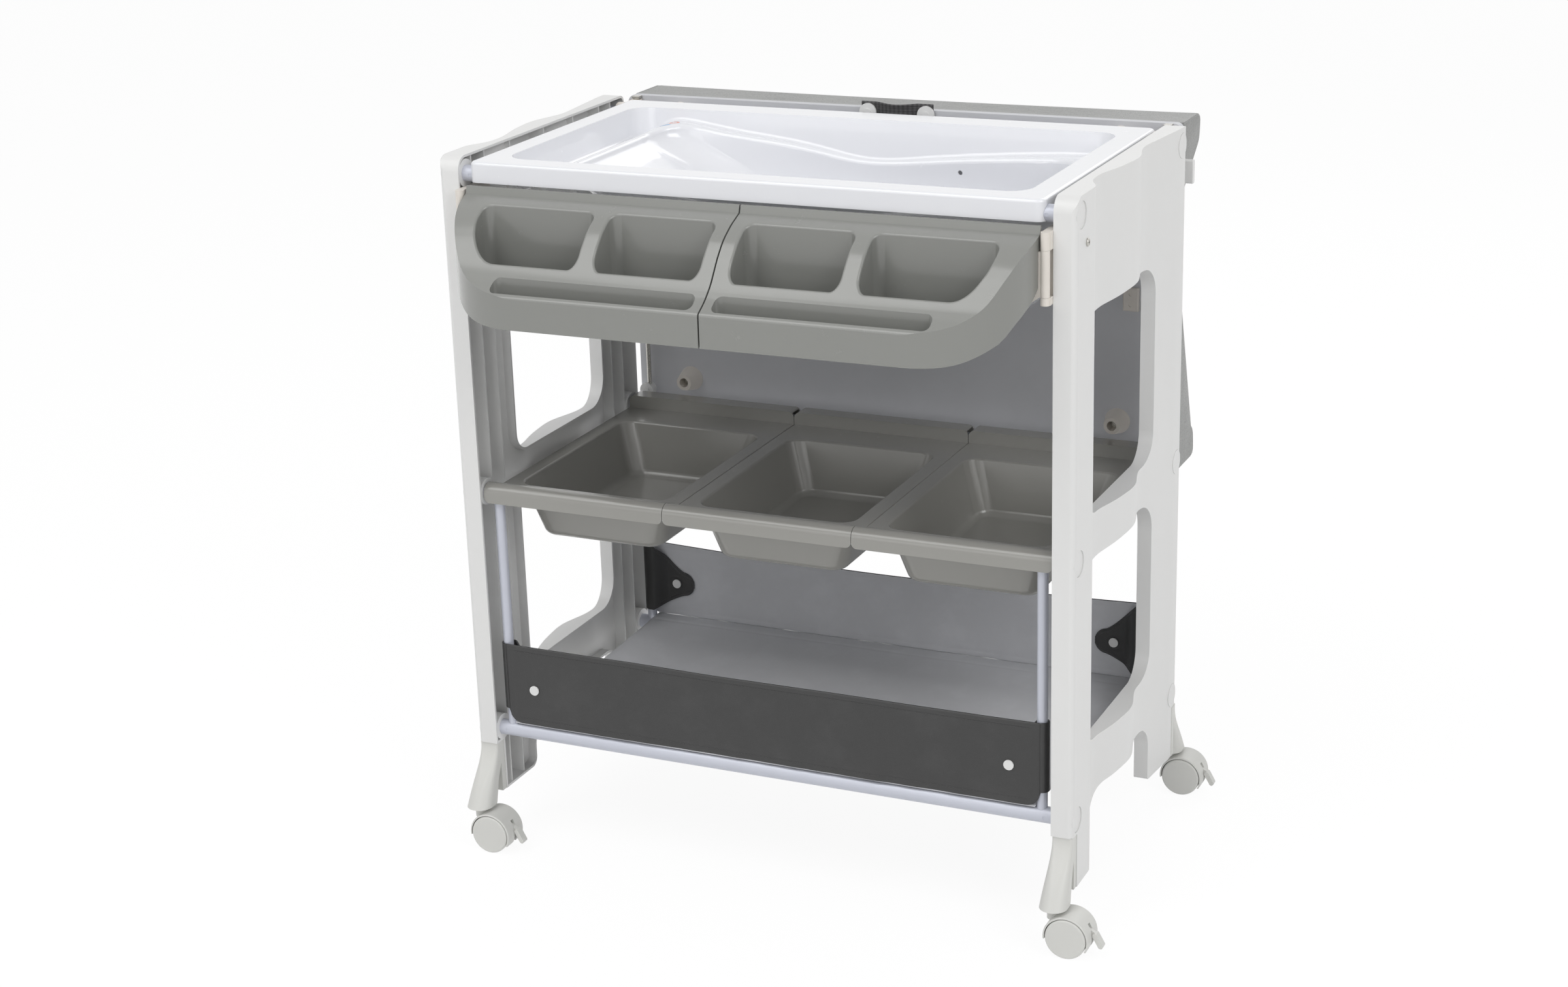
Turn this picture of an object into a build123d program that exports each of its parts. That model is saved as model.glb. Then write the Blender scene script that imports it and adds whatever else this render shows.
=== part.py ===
"""Changing table with a bathtub, two swinging toiletry trays, three storage trays and a fabric shelf.

Lengths are in millimetres. X runs across the table, Y from the user's side to the back and Z up.
The origin lies on the floor, under the middle of the frame.
"""

from build123d import *
import os

OVERRUN = 5.0
SEAT_GAP = 0.2
RUNNING_CLEARANCE = 0.05
SOFT_GAP = 0.3

# Side panels: hollow mouldings, open towards the middle of the table.
FRAME_WIDTH = 800.0
PANEL_THICKNESS = 27.0
PANEL_DEPTH = 430.0
PANEL_TOP_Z = 895.0
PANEL_SKIN = 3.0
PANEL_CORNER_R = 7.0
PANEL_TOP_FRONT_R = 18.0
PANEL_TOP_REAR_R = 10.0
LEG_DEPTH = 98.0
LEG_BOTTOM_Z = 64.0
LEG_TOE_R = 12.0
LEG_HEEL_R = 3.5
ARCH_Z = 142.0
ARCH_FRONT_R = 55.0
ARCH_REAR_R = 30.0
UPPER_WINDOW_BOTTOM_Z = 497.0
UPPER_WINDOW_TOP_Z = 740.0
LOWER_WINDOW_BOTTOM_Z = 209.0
LOWER_WINDOW_TOP_Z = 440.0
WINDOW_REAR_R = 36.0
WINDOW_FRONT_TOP_R = 14.0
WINDOW_FRONT_BOTTOM_R = 24.0
WINDOW_APEX_RISE = 9.0
WINDOW_APEX_R = 60.0
WINDOW_APEX_SHARE = 0.66
WAVE_DEPTH = 15.0
WAVE_SHARES = (
    (0.14, 0.0),
    (0.18, 0.36),
    (0.22, 0.87),
    (0.26, 1.0),
    (0.30, 0.95),
    (0.38, 0.47),
    (0.46, 0.12),
    (0.54, 0.04),
    (0.61, 0.52),
    (0.66, 0.8),
    (0.73, 0.72),
    (0.82, 0.45),
    (0.91, 0.2),
    (1.0, 0.1),
)
RIB_THICKNESS = 2.2
RIB_SETBACK = 2.5
LEG_RIB_SHARES = (0.36, 0.68)
TOP_RIB_SHARES = (0.3, 0.5, 0.68)
TUBE_BOSS_R = 17.0

# Feet: bell-shaped caps on the outer ends of the legs, one above each caster.
FOOT_TOP_Z = 133.0
FOOT_BOTTOM_Z = 57.0
FOOT_TONGUE_DEPTH = 17.0
FOOT_REVEAL = 1.0
FOOT_REACH = 45.0
FOOT_BASE_DEPTH = 42.0
FOOT_BASE_WIDTH = 34.0
FOOT_SECTION_SHARES = (
    (1.0, 0.0, 0.36, 0.74, 0.40),
    (0.80, 0.05, 0.42, 0.75, 0.45),
    (0.46, 0.46, 0.66, 0.84, 0.75),
    (0.12, 0.87, 0.92, 0.97, 0.95),
    (0.0, 1.0, 1.0, 1.0, 0.98),
)

# Cross tubes and the thin uprights between the lower two of them.
TUBE_R = 10.0
TUBE_WALL = 1.5
TUBE_SETBACK = 18.0
TOP_TUBE_Z = 873.0
MIDDLE_TUBE_Z = 470.0
BOTTOM_TUBE_Z = 151.0
TUBE_SEAT_DEPTH = 15.0
TUBE_MARK_SIZE = 3.5
TUBE_MARK_DEPTH = 0.5
TUBE_MARK_INSET = 11.0
ROD_R = 6.5
ROD_INSET = 16.5
PLUG_LENGTH = 25.0
BOLT_R = 3.0
BOLT_HEAD_R = 6.0
BOLT_HEAD_HEIGHT = 4.0
BOLT_LENGTH = 28.0
CAP_R = 15.5
CAP_THICKNESS = 1.6
CAP_RECESS = 3.0

# Bathtub: a moulded rim that hooks over the two top tubes, a shallow step and a deep well.
TUB_RIM_WIDTH = 722.0
TUB_RIM_INSET = 7.0
TUB_RIM_SHIFT_Y = 0.5
TUB_RIM_Z = 890.0
TUB_WALL = 3.0
TUB_LIP_DROP = 25.0
TUB_SIDE_LIP_DROP = 15.0
TUB_RIM_R = 4.0
TUB_CORNER_R = 10.0
STEP_WIDTH = 660.0
STEP_MARGIN = 38.0
STEP_SHIFT_Y = -6.5
STEP_DRAFT = 7.0
STEP_CORNER_R = 28.0
STEP_FALL = 50.0
STEP_FOOT_R = 5.0
LEDGE_R = 6.0
LEDGE_SHARES = (
    (-0.5, 0.66),
    (-0.455, 0.66),
    (-0.435, 0.44),
    (-0.415, 0.32),
    (-0.365, 0.32),
    (-0.28, 0.48),
    (-0.11, 0.76),
    (0.0, 1.0),
    (0.12, 0.9),
    (0.30, 0.68),
    (0.5, 0.6),
)
WELL_FLOOR_Z = 693.0
WELL_RISE = 187.0
WELL_FLOOR_LEFT_X = 20.0
WELL_FLOOR_RIGHT_X = 200.0
BACKREST_RUN = 290.0
FOOT_END_RUN = 126.0
WELL_MARGIN = 12.5
WELL_BULGE = 20.0
WELL_CORNER_R = 58.0
WELL_SECTION_SHARES = (
    (0.0, 0.0, 0.0, 0.70, 0.3),
    (0.025, 0.13, 0.28, 0.80, 0.5),
    (0.085, 0.25, 0.50, 0.87, 0.7),
    (0.22, 0.42, 0.66, 0.91, 0.85),
    (0.42, 0.57, 0.80, 0.94, 1.0),
    (0.66, 0.75, 0.90, 0.97, 1.0),
    (1.0, 1.0, 1.0, 1.0, 1.0),
)
SADDLE_RIB = 3.0
SADDLE_SHARES = (-0.4, -0.15, 0.15, 0.4)
DRAIN_X = 60.0
DRAIN_R = 14.0
DRAIN_SEAT_R = 19.0
DRAIN_SEAT_DEPTH = 1.2
PLUG_HEAD_R = 18.0
PLUG_HEAD_HEIGHT = 4.0
PLUG_STEM_CLEARANCE = 0.3
KNOB_R = 5.0
KNOB_HEIGHT = 12.0
OVERFLOW_R = 3.0
OVERFLOW_X = 127.0
OVERFLOW_Z = 832.0

# Storage trays: three alike, side by side on the middle tubes.
STORAGE_COUNT = 3
STORAGE_SIDE_GAP = 1.5
STORAGE_JOINT = 0.8
STORAGE_WALL = 2.2
STORAGE_LIP_DROP = 11.0
STORAGE_SIDE_R = 1.0
STORAGE_LIP_CORNER_R = 7.0
STORAGE_CURB_TOP_Z = 487.0
STORAGE_CURB_CORNER_R = 8.0
STORAGE_CURB_DROP = 6.0
STORAGE_CURB_RIB_SHARE = 0.32
BOWL_HALF_WIDTH = 103.0
BOWL_HALF_DEPTH = 142.0
BOWL_SHIFT_Y = -15.0
BOWL_DEPTH = 69.0
BOWL_DRAFT_X = 22.0
BOWL_DRAFT_Y = 15.0
BOWL_CORNER_R = 20.0
BOWL_FLOOR_R = 10.0
BOWL_RIM_R = 3.0

# Toiletry trays: a mirrored pair in front of the tub; each swings about a pin at its outer end.
TRAY_GAP = 2.0
TRAY_OUTER_X = 360.0
TRAY_FRONT_REACH = 123.0
TRAY_BACK_GAP = 1.0
TRAY_CORNER_R = 119.0
TRAY_WALL = 2.5
TRAY_TOP_Z = 863.0
TRAY_CREST_Z = 854.0
TRAY_BROW_DEPTH = 4.0
TRAY_BROW_RUN = 7.0
TRAY_FACE_TOP_Z = 764.0
TRAY_SKIRT_Z = 725.0
TRAY_FACE_R = 5.0
TRAY_TOP_R = 70.0
TRAY_INSET_SHARE = 0.75
TRAY_TOP_SHARES = (
    (0.24, 0.10),
    (0.42, 0.24),
    (0.56, 0.44),
    (0.72, 0.73),
    (0.86, 0.89),
)
TRAY_SKIRT_RISE = 82.0
TRAY_SKIRT_SHARES = (
    (0.89, 0.04),
    (0.72, 0.17),
    (0.57, 0.31),
    (0.46, 0.46),
    (0.33, 0.60),
)
POCKET_BACK_Y = 24.0
POCKET_FRONT_Y = 83.0
POCKET_FLOOR_Z = 738.0
POCKET_INNER_X = (18.0, 154.0)
POCKET_OUTER_X = (174.0, 323.0)
POCKET_R = 12.0
POCKET_SWEEP_R = 42.0
POCKET_TAPER = 2.0
POCKET_RIM_R = 3.0
POCKET_RIM_RISE = 20.0
SLOT_BACK_Y = 98.0
SLOT_FRONT_Y = 118.5
SLOT_X = (12.0, 272.0)
SLOT_COLLAR_Z = 745.0
SLOT_R = 8.0
HINGE_PIN_R = 2.0
HINGE_PIN_X = 367.0
HINGE_PIN_REACH = 9.0
KNUCKLE_R = 5.2
KNUCKLE_BOTTOM_Z = 785.0
KNUCKLE_TOP_Z = 838.0
LUG_THICKNESS = 9.0
UPPER_LUG_THICKNESS = 20.0
BRACKET_THICKNESS = 10.2
BRACKET_REACH = 55.0
BRACKET_FRONT = 3.0
BRACKET_ROOT = 14.0
BRACKET_SOLE_Z = 800.0
GUSSET_THICKNESS = 4.0
GUSSET_LENGTH = 112.0
GUSSET_DROP = 17.0
GUSSET_END_DROP = 34.0
GUSSET_NOTCH = 27.0
GUSSET_TOP_DROP = 2.0
GUSSET_RIB_X = (262.0, 330.0)
GUSSET_RIB_Z = 800.0
SCREW_R = 2.4
SCREW_HEAD_R = 4.6
SCREW_HEAD_HEIGHT = 2.4
SCREW_INSET = 35.5
SCREW_Z = 839.0
SCREW_BOSS_R = 6.5
SCREW_SLOT_WIDTH = 1.0

# Fabric shelf: a floor over the bottom tubes, front and rear panels and four corner tabs.
CLOTH = 2.0
SHELF_PANEL_BOTTOM_Z = 164.0
SHELF_PANEL_TOP_Z = 270.0
SHELF_PANEL_R = 18.0
SHELF_REAR_R = 8.0
SHELF_REAR_DIP = 7.0
SHELF_HEM = 7.0
SHELF_HEM_THICKNESS = 1.0
SHELF_FLOOR_SAG = 6.0
SHELF_FLOOR_THICKNESS = 3.0
SHELF_FLOOR_MARGIN = 0.4
TAB_TIP_X = 292.0
TAB_TIP_Z = 212.0
TAB_TIP_R = 17.0
TAB_ROOT_X = 350.0
TAB_FOOT_Z = 186.0
TAB_REAR_FOOT_Z = 173.0
SNAP_R = 6.3
SNAP_THICKNESS = 1.6
SNAP_X = 318.0

# Changing mat: a board with a padded cushion, hung behind the frame on two arms and two rods.
MAT_WIDTH = 766.0
MAT_HEIGHT = 455.0
MAT_BOTTOM_Z = 434.0
MAT_OFFSET = 50.0
BOARD_THICKNESS = 12.0
BOARD_CORNER_R = 10.0
PAD_THICKNESS = 18.0
WEDGE_THICKNESS = 82.0
WEDGE_LAND = 33.0
WEDGE_RUN = 54.0
PAD_CROWN = 3.0
PAD_EDGE_R = 6.0
WEDGE_TOP_R = 20.0
WEDGE_EDGE_R = 9.0
PAD_INSET = 1.0
GUIDE_R = 3.0
GUIDE_STANDOFF = 7.0
ARM_RING_R = 15.5
ARM_THICKNESS = 8.8
SLEEVE_WIDTH = 11.0
SLEEVE_DEPTH = 11.0
SLEEVE_SIDE_GAP = 0.5
SLEEVE_LENGTH = 14.0
CLIP_R = 10.0
CLIP_X = 370.0
CLIP_Z = 480.0
CLIP_DEPTH = 12.0
CLIP_SCREW_R = 4.0
CLIP_SCREW_PROUD = 1.2
STOP_THICKNESS = 3.0
STOP_GAP = 1.0
STOP_WIDTH = 10.0
STOP_FRONT = 4.0
MAT_FOOT_X = 305.0
MAT_FOOT_Z = 500.0
MAT_FOOT_SPAN = 366.0
MAT_FOOT_LENGTH = 25.0
MAT_FOOT_BASE_R = 17.0
MAT_FOOT_TIP_R = 10.7
MAT_FOOT_HOLE_R = 6.4
MAT_FOOT_HOLE_DEPTH = 16.0
MAT_SCREW_HEAD_R = 5.0
MAT_SCREW_HEAD_HEIGHT = 3.0
KEEPER_X = 322.0
KEEPER_Z = 663.0
KEEPER_WIDTH = 20.0
KEEPER_HEIGHT = 30.0
KEEPER_THICKNESS = 6.0
KEEPER_DOT_R = 2.2
KEEPER_DOT_PITCH = 14.0
KEEPER_DOT_DEPTH = 1.0
KEEPER_CHAMFER = 1.0
CATCH_LENGTH = 15.0
CATCH_HEIGHT = 30.0
CATCH_THICKNESS = 8.0
CATCH_Z = 830.0
CATCH_R = 2.5
STRAP_X = (-42.0, 56.0)
STRAP_BOTTOM_Z = 880.0
STRAP_HEIGHT = 17.0
STRAP_BOW = 8.0
STRAP_THICKNESS = 2.5
STRAP_DISC_R = 11.5
STRAP_DISC_INSET = 9.0
STRAP_DISC_Z = 884.0
STRAP_DISC_THICKNESS = 3.0
STRAP_BUTTON_R = 4.5
STRAP_BUTTON_HEIGHT = 1.2
STRAP_SHANK_R = 3.0

# Casters: twin wheels under a hood, with a brake lever at the trailing side.
CASTER_WHEEL_R = 25.0
CASTER_TRAIL = 19.0
CASTER_WHEEL_WIDTH = 14.0
CASTER_WHEEL_GAP = 6.0
CASTER_WHEEL_EDGE_R = 2.5
CASTER_AXLE_R = 2.5
CASTER_AXLE_LENGTH = 36.0
CASTER_WEB_HALF = 5.0
CASTER_WEB_R = 21.0
COLLAR_R = 9.0
COLLAR_GAP = 1.0
HOOD_EDGE_R = 1.5
HOOD_INNER_R = 26.0
HOOD_OUTER_R = 28.0
HOOD_HALF_WIDTH = 19.0
HOOD_START_DEG = -28.0
HOOD_SWEEP_DEG = 215.0
STEM_R = 5.5
STEM_SOCKET = 14.0
STEM_TOP_GAP = 1.0
STEM_ROOT_Z = 42.0
STEM_Y_REACH = 24.0
LEVER_PIVOT_R = 22.0
LEVER_PIVOT_DEG = 20.0
LEVER_EYE_R = 4.0
LEVER_PIN_R = 1.5
LEVER_HALF_WIDTH = 2.5
LEVER_SLOT_GAP = 0.25
PADDLE_HALF_WIDTH = 4.8
PADDLE_START = (31.5, 3.5)
PADDLE_TIP = (38.5, -9.0)
PADDLE_HALF_THICKNESS = 3.0
LEVER_SLOT_REACH = 16.0
LEVER_SLOT_DROP = 24.0
LEVER_SLOT_RISE = 9.0

outer_x = FRAME_WIDTH / 2
inner_x = outer_x - PANEL_THICKNESS
front_y = -PANEL_DEPTH / 2
rear_y = PANEL_DEPTH / 2
tube_y = rear_y - TUBE_SETBACK
tub_rim_depth = PANEL_DEPTH - TUB_RIM_INSET
step_depth = tub_rim_depth - 2 * STEP_MARGIN
well_half_depth = step_depth / 2 - WELL_MARGIN
tube_end_x = inner_x + TUBE_SEAT_DEPTH
tube_rows = (
    ("top", TOP_TUBE_Z),
    ("middle", MIDDLE_TUBE_Z),
    ("bottom", BOTTOM_TUBE_Z),
)
tube_places = [(side * tube_y, z) for side in (-1, 1) for _, z in tube_rows]
rod_x = inner_x - ROD_INSET
stem_x = outer_x - PANEL_THICKNESS / 2
stem_y = front_y - STEM_Y_REACH
pin_y = front_y - HINGE_PIN_REACH
pin_top_z = KNUCKLE_TOP_Z + UPPER_LUG_THICKNESS / 2
guide_x = inner_x - SLEEVE_SIDE_GAP - SLEEVE_WIDTH / 2
mat_y = tube_y + MAT_OFFSET
guide_y = mat_y - GUIDE_STANDOFF
pad_y = mat_y + BOARD_THICKNESS
mat_top_z = MAT_BOTTOM_Z + MAT_HEIGHT
sleeve_z = mat_top_z - STOP_THICKNESS - STOP_GAP - SLEEVE_LENGTH
strap_stations = (STRAP_X[0] + STRAP_DISC_INSET, STRAP_X[1] - STRAP_DISC_INSET)
lever_pivot = Vector(LEVER_PIVOT_R, 0).rotate(Axis.Z, LEVER_PIVOT_DEG)
pivot_run = lever_pivot.X
pivot_rise = lever_pivot.Y


def save(part, name):
    """Label a finished piece and write it."""
    part.label = name
    export_step(part, "parts/" + name + ".step")


def mirrored(part, plane):
    """The same piece on the other side of a plane."""
    with BuildPart() as copy:
        mirror(part, about=plane)
    return copy.part


def vertex_near(sketch, x, y):
    """The vertex of a sketch nearest to a place in its own plane."""
    return sketch.vertices().sort_by_distance((x, y, 0))[0]


def panel_plan(skin, reach):
    """Plan of a panel's wavy outside, a depth of skin below its surface."""
    wave = [
        (outer_x - skin - WAVE_DEPTH * dip, front_y + PANEL_DEPTH * share)
        for share, dip in WAVE_SHARES
    ]
    with BuildSketch() as plan:
        with BuildLine():
            Polyline((inner_x - reach, front_y), (outer_x - skin, front_y), wave[0])
            Spline(*wave, tangents=[(0, 1), (0, 1)])
            Polyline(wave[-1], (inner_x - reach, rear_y), (inner_x - reach, front_y))
        make_face()
        with Locations(((inner_x - reach + outer_x) / 2, 0)):
            Rectangle(
                PANEL_THICKNESS + reach,
                PANEL_DEPTH - 2 * skin,
                mode=Mode.INTERSECT,
            )
        if skin == 0:
            fillet(vertex_near(plan, outer_x, front_y), PANEL_CORNER_R)
            fillet(vertex_near(plan, outer_x, rear_y), PANEL_CORNER_R)
    return plan.sketch


def window(bottom_z, top_z):
    """A window between the legs, its top edge rising to a blunt apex."""
    near_y = front_y + LEG_DEPTH
    far_y = rear_y - LEG_DEPTH
    apex_y = near_y + WINDOW_APEX_SHARE * (far_y - near_y)
    with BuildSketch() as opening:
        with BuildLine():
            Polyline(
                (near_y, bottom_z),
                (near_y, top_z),
                (apex_y, top_z + WINDOW_APEX_RISE),
                (far_y, top_z),
                (far_y, bottom_z),
                close=True,
            )
        make_face()
        fillet(vertex_near(opening, apex_y, top_z + WINDOW_APEX_RISE), WINDOW_APEX_R)
        fillet(vertex_near(opening, near_y, bottom_z), WINDOW_FRONT_BOTTOM_R)
        fillet(vertex_near(opening, near_y, top_z), WINDOW_FRONT_TOP_R)
        fillet(vertex_near(opening, far_y, top_z), WINDOW_REAR_R)
        fillet(vertex_near(opening, far_y, bottom_z), WINDOW_REAR_R)
    return opening.sketch


def panel_side():
    """Side view of a panel: two legs, a top, two bridges and two windows."""
    near_y = front_y + LEG_DEPTH
    far_y = rear_y - LEG_DEPTH
    with BuildSketch() as side:
        with BuildLine():
            Polyline(
                (front_y, LEG_BOTTOM_Z),
                (front_y, PANEL_TOP_Z),
                (rear_y, PANEL_TOP_Z),
                (rear_y, LEG_BOTTOM_Z),
                (far_y, LEG_BOTTOM_Z),
                (far_y, ARCH_Z),
                (near_y, ARCH_Z),
                (near_y, LEG_BOTTOM_Z),
                close=True,
            )
        make_face()
        fillet(vertex_near(side, front_y, PANEL_TOP_Z), PANEL_TOP_FRONT_R)
        fillet(vertex_near(side, rear_y, PANEL_TOP_Z), PANEL_TOP_REAR_R)
        fillet(vertex_near(side, near_y, LEG_BOTTOM_Z), LEG_TOE_R)
        fillet(vertex_near(side, far_y, LEG_BOTTOM_Z), LEG_HEEL_R)
        fillet(vertex_near(side, near_y, ARCH_Z), ARCH_FRONT_R)
        fillet(vertex_near(side, far_y, ARCH_Z), ARCH_REAR_R)
        add(window(UPPER_WINDOW_BOTTOM_Z, UPPER_WINDOW_TOP_Z), mode=Mode.SUBTRACT)
        add(window(LOWER_WINDOW_BOTTOM_Z, LOWER_WINDOW_TOP_Z), mode=Mode.SUBTRACT)
    return side.sketch


def block(x_range, y_range, z_range):
    """A plain block between three pairs of planes."""
    with BuildPart() as body:
        with BuildSketch(Plane.XY.offset(z_range[0])):
            with Locations((sum(x_range) / 2, sum(y_range) / 2)):
                Rectangle(x_range[1] - x_range[0], y_range[1] - y_range[0])
        extrude(amount=z_range[1] - z_range[0])
    return body.part


def panel_cavity():
    """The open hollow of the right panel, interrupted by its ribs and bosses."""
    notch_z = FOOT_TOP_Z + PANEL_SKIN + SEAT_GAP
    notch_y = FOOT_TONGUE_DEPTH + PANEL_SKIN + SEAT_GAP
    rib_x = inner_x + RIB_SETBACK
    legs = [front_y + share * LEG_DEPTH for share in LEG_RIB_SHARES]
    ribs = legs + [-y for y in legs]
    with BuildPart() as cavity:
        with BuildSketch(Plane.XY.offset(LEG_BOTTOM_Z)):
            add(panel_plan(PANEL_SKIN, OVERRUN))
        extrude(amount=PANEL_TOP_Z - LEG_BOTTOM_Z)
        with BuildSketch(Plane.YZ.offset(inner_x - OVERRUN)):
            offset(panel_side(), amount=-PANEL_SKIN)
        extrude(amount=PANEL_THICKNESS + OVERRUN, mode=Mode.INTERSECT)
        for y in ribs:
            add(
                block(
                    (rib_x, outer_x),
                    (y - RIB_THICKNESS / 2, y + RIB_THICKNESS / 2),
                    (LEG_BOTTOM_Z, PANEL_TOP_Z),
                ),
                mode=Mode.SUBTRACT,
            )
        for share in TOP_RIB_SHARES:
            y = front_y + share * PANEL_DEPTH
            add(
                block(
                    (rib_x, outer_x),
                    (y - RIB_THICKNESS / 2, y + RIB_THICKNESS / 2),
                    (UPPER_WINDOW_TOP_Z, PANEL_TOP_Z),
                ),
                mode=Mode.SUBTRACT,
            )
        for side in (-1, 1):
            notch = sorted((side * rear_y, side * (rear_y - notch_y)))
            add(
                block((inner_x - OVERRUN, outer_x), notch, (LEG_BOTTOM_Z, notch_z)),
                mode=Mode.SUBTRACT,
            )
        with BuildSketch(Plane.YZ.offset(inner_x)):
            with Locations(*tube_places):
                Circle(TUBE_BOSS_R)
            with Locations((front_y + SCREW_INSET, SCREW_Z)):
                Circle(SCREW_BOSS_R)
        extrude(amount=PANEL_THICKNESS, mode=Mode.SUBTRACT)
    return cavity.part


def side_panel():
    """The right side panel."""
    seat_x = outer_x - CAP_RECESS - BOLT_HEAD_HEIGHT
    with BuildPart() as panel:
        with BuildSketch(Plane.XY.offset(LEG_BOTTOM_Z)):
            add(panel_plan(0, 0))
        extrude(amount=PANEL_TOP_Z - LEG_BOTTOM_Z)
        with BuildSketch(Plane.YZ.offset(inner_x - OVERRUN)):
            add(panel_side())
        extrude(amount=PANEL_THICKNESS + 2 * OVERRUN, mode=Mode.INTERSECT)
        add(panel_cavity(), mode=Mode.SUBTRACT)
        with BuildSketch(Plane.YZ.offset(inner_x - OVERRUN)):
            with Locations(*tube_places):
                Circle(TUBE_R + RUNNING_CLEARANCE)
        extrude(amount=OVERRUN + TUBE_SEAT_DEPTH + SEAT_GAP, mode=Mode.SUBTRACT)
        with BuildSketch(Plane.YZ.offset(inner_x)):
            with Locations(*tube_places):
                Circle(BOLT_R + RUNNING_CLEARANCE)
            with Locations((front_y + SCREW_INSET, SCREW_Z)):
                Circle(SCREW_R + RUNNING_CLEARANCE)
        extrude(amount=PANEL_THICKNESS + OVERRUN, mode=Mode.SUBTRACT)
        with BuildSketch(Plane.YZ.offset(seat_x)):
            with Locations(*tube_places):
                Circle(BOLT_HEAD_R + SEAT_GAP)
        extrude(amount=PANEL_THICKNESS, mode=Mode.SUBTRACT)
        with BuildSketch(Plane.YZ.offset(outer_x - CAP_RECESS)):
            with Locations(*tube_places):
                Circle(CAP_R + SEAT_GAP)
        extrude(amount=PANEL_THICKNESS, mode=Mode.SUBTRACT)
        for side in (-1, 1):
            notch = sorted(
                (
                    side * (rear_y + OVERRUN),
                    side * (rear_y - FOOT_TONGUE_DEPTH - SEAT_GAP),
                )
            )
            add(
                block(
                    (inner_x - OVERRUN, outer_x + OVERRUN),
                    notch,
                    (LEG_BOTTOM_Z - OVERRUN, FOOT_TOP_Z + SEAT_GAP),
                ),
                mode=Mode.SUBTRACT,
            )
    return panel.part


def foot():
    """The front right foot: a tongue in the leg's notch that swells into a bell."""
    mid_x = outer_x - PANEL_THICKNESS / 2
    height = FOOT_TOP_Z - FOOT_BOTTOM_Z
    with BuildPart() as bell:
        for rise, reach, depth, width, round_share in FOOT_SECTION_SHARES:
            near = front_y + FOOT_REVEAL - reach * (FOOT_REACH + FOOT_REVEAL)
            with BuildSketch(Plane.XY.offset(FOOT_BOTTOM_Z + rise * height)):
                with Locations((mid_x, near + depth * FOOT_BASE_DEPTH / 2)):
                    RectangleRounded(
                        width * FOOT_BASE_WIDTH,
                        depth * FOOT_BASE_DEPTH,
                        min(width * FOOT_BASE_WIDTH, depth * FOOT_BASE_DEPTH) / 2 * round_share,
                    )
        loft()
        add(
            block(
                (inner_x + FOOT_REVEAL, outer_x - FOOT_REVEAL),
                (front_y + FOOT_TONGUE_DEPTH / 2, front_y + FOOT_TONGUE_DEPTH),
                (LEG_BOTTOM_Z, FOOT_TOP_Z),
            )
        )
        with BuildSketch(Plane.XY.offset(FOOT_BOTTOM_Z)):
            with Locations((stem_x, stem_y)):
                Circle(STEM_R + RUNNING_CLEARANCE)
        extrude(amount=STEM_SOCKET + STEM_TOP_GAP, mode=Mode.SUBTRACT)
    return bell.part


def tube(y, z):
    """One cross tube, with a small punched mark near each end."""
    with BuildPart() as pipe:
        with BuildSketch(Plane.YZ.offset(-tube_end_x)):
            with Locations((y, z)):
                Circle(TUBE_R)
                Circle(TUBE_R - TUBE_WALL, mode=Mode.SUBTRACT)
        extrude(amount=2 * tube_end_x)
        with BuildSketch(Plane.XZ.offset(TUBE_R - TUBE_MARK_DEPTH - y)):
            with Locations(
                (inner_x - TUBE_MARK_INSET, z),
                (TUBE_MARK_INSET - inner_x, z),
            ):
                Rectangle(TUBE_MARK_SIZE, TUBE_MARK_SIZE)
        extrude(amount=TUBE_R, mode=Mode.SUBTRACT)
    return pipe.part


def upright(x, y):
    """A thin upright, coped to sit between the middle and the bottom tube."""
    with BuildPart() as rod:
        with BuildSketch(Plane.XY.offset(BOTTOM_TUBE_Z)):
            with Locations((x, y)):
                Circle(ROD_R)
        extrude(amount=MIDDLE_TUBE_Z - BOTTOM_TUBE_Z)
        with BuildSketch(Plane.YZ.offset(x - TUBE_R)):
            with Locations((y, BOTTOM_TUBE_Z), (y, MIDDLE_TUBE_Z)):
                Circle(TUBE_R + SEAT_GAP)
        extrude(amount=2 * TUBE_R, mode=Mode.SUBTRACT)
    return rod.part


def both_ends(profile_r, bore_r, start_x, length):
    """A disc or ring at each end of the six cross tubes."""
    with BuildPart() as pieces:
        with BuildSketch(Plane.YZ.offset(start_x)):
            with Locations(*tube_places):
                Circle(profile_r)
                if bore_r > 0:
                    Circle(bore_r, mode=Mode.SUBTRACT)
        extrude(amount=length)
        mirror(about=Plane.YZ)
    return pieces.part


def panel_bolts():
    """The bolts that pull the panels onto the cross tubes."""
    seat_x = outer_x - CAP_RECESS - BOLT_HEAD_HEIGHT
    with BuildPart() as bolts:
        with BuildSketch(Plane.YZ.offset(seat_x)):
            with Locations(*tube_places):
                Circle(BOLT_HEAD_R)
        extrude(amount=BOLT_HEAD_HEIGHT - SEAT_GAP)
        with BuildSketch(Plane.YZ.offset(seat_x - BOLT_LENGTH)):
            with Locations(*tube_places):
                Circle(BOLT_R)
        extrude(amount=BOLT_LENGTH)
        mirror(about=Plane.YZ)
    return bolts.part


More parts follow.
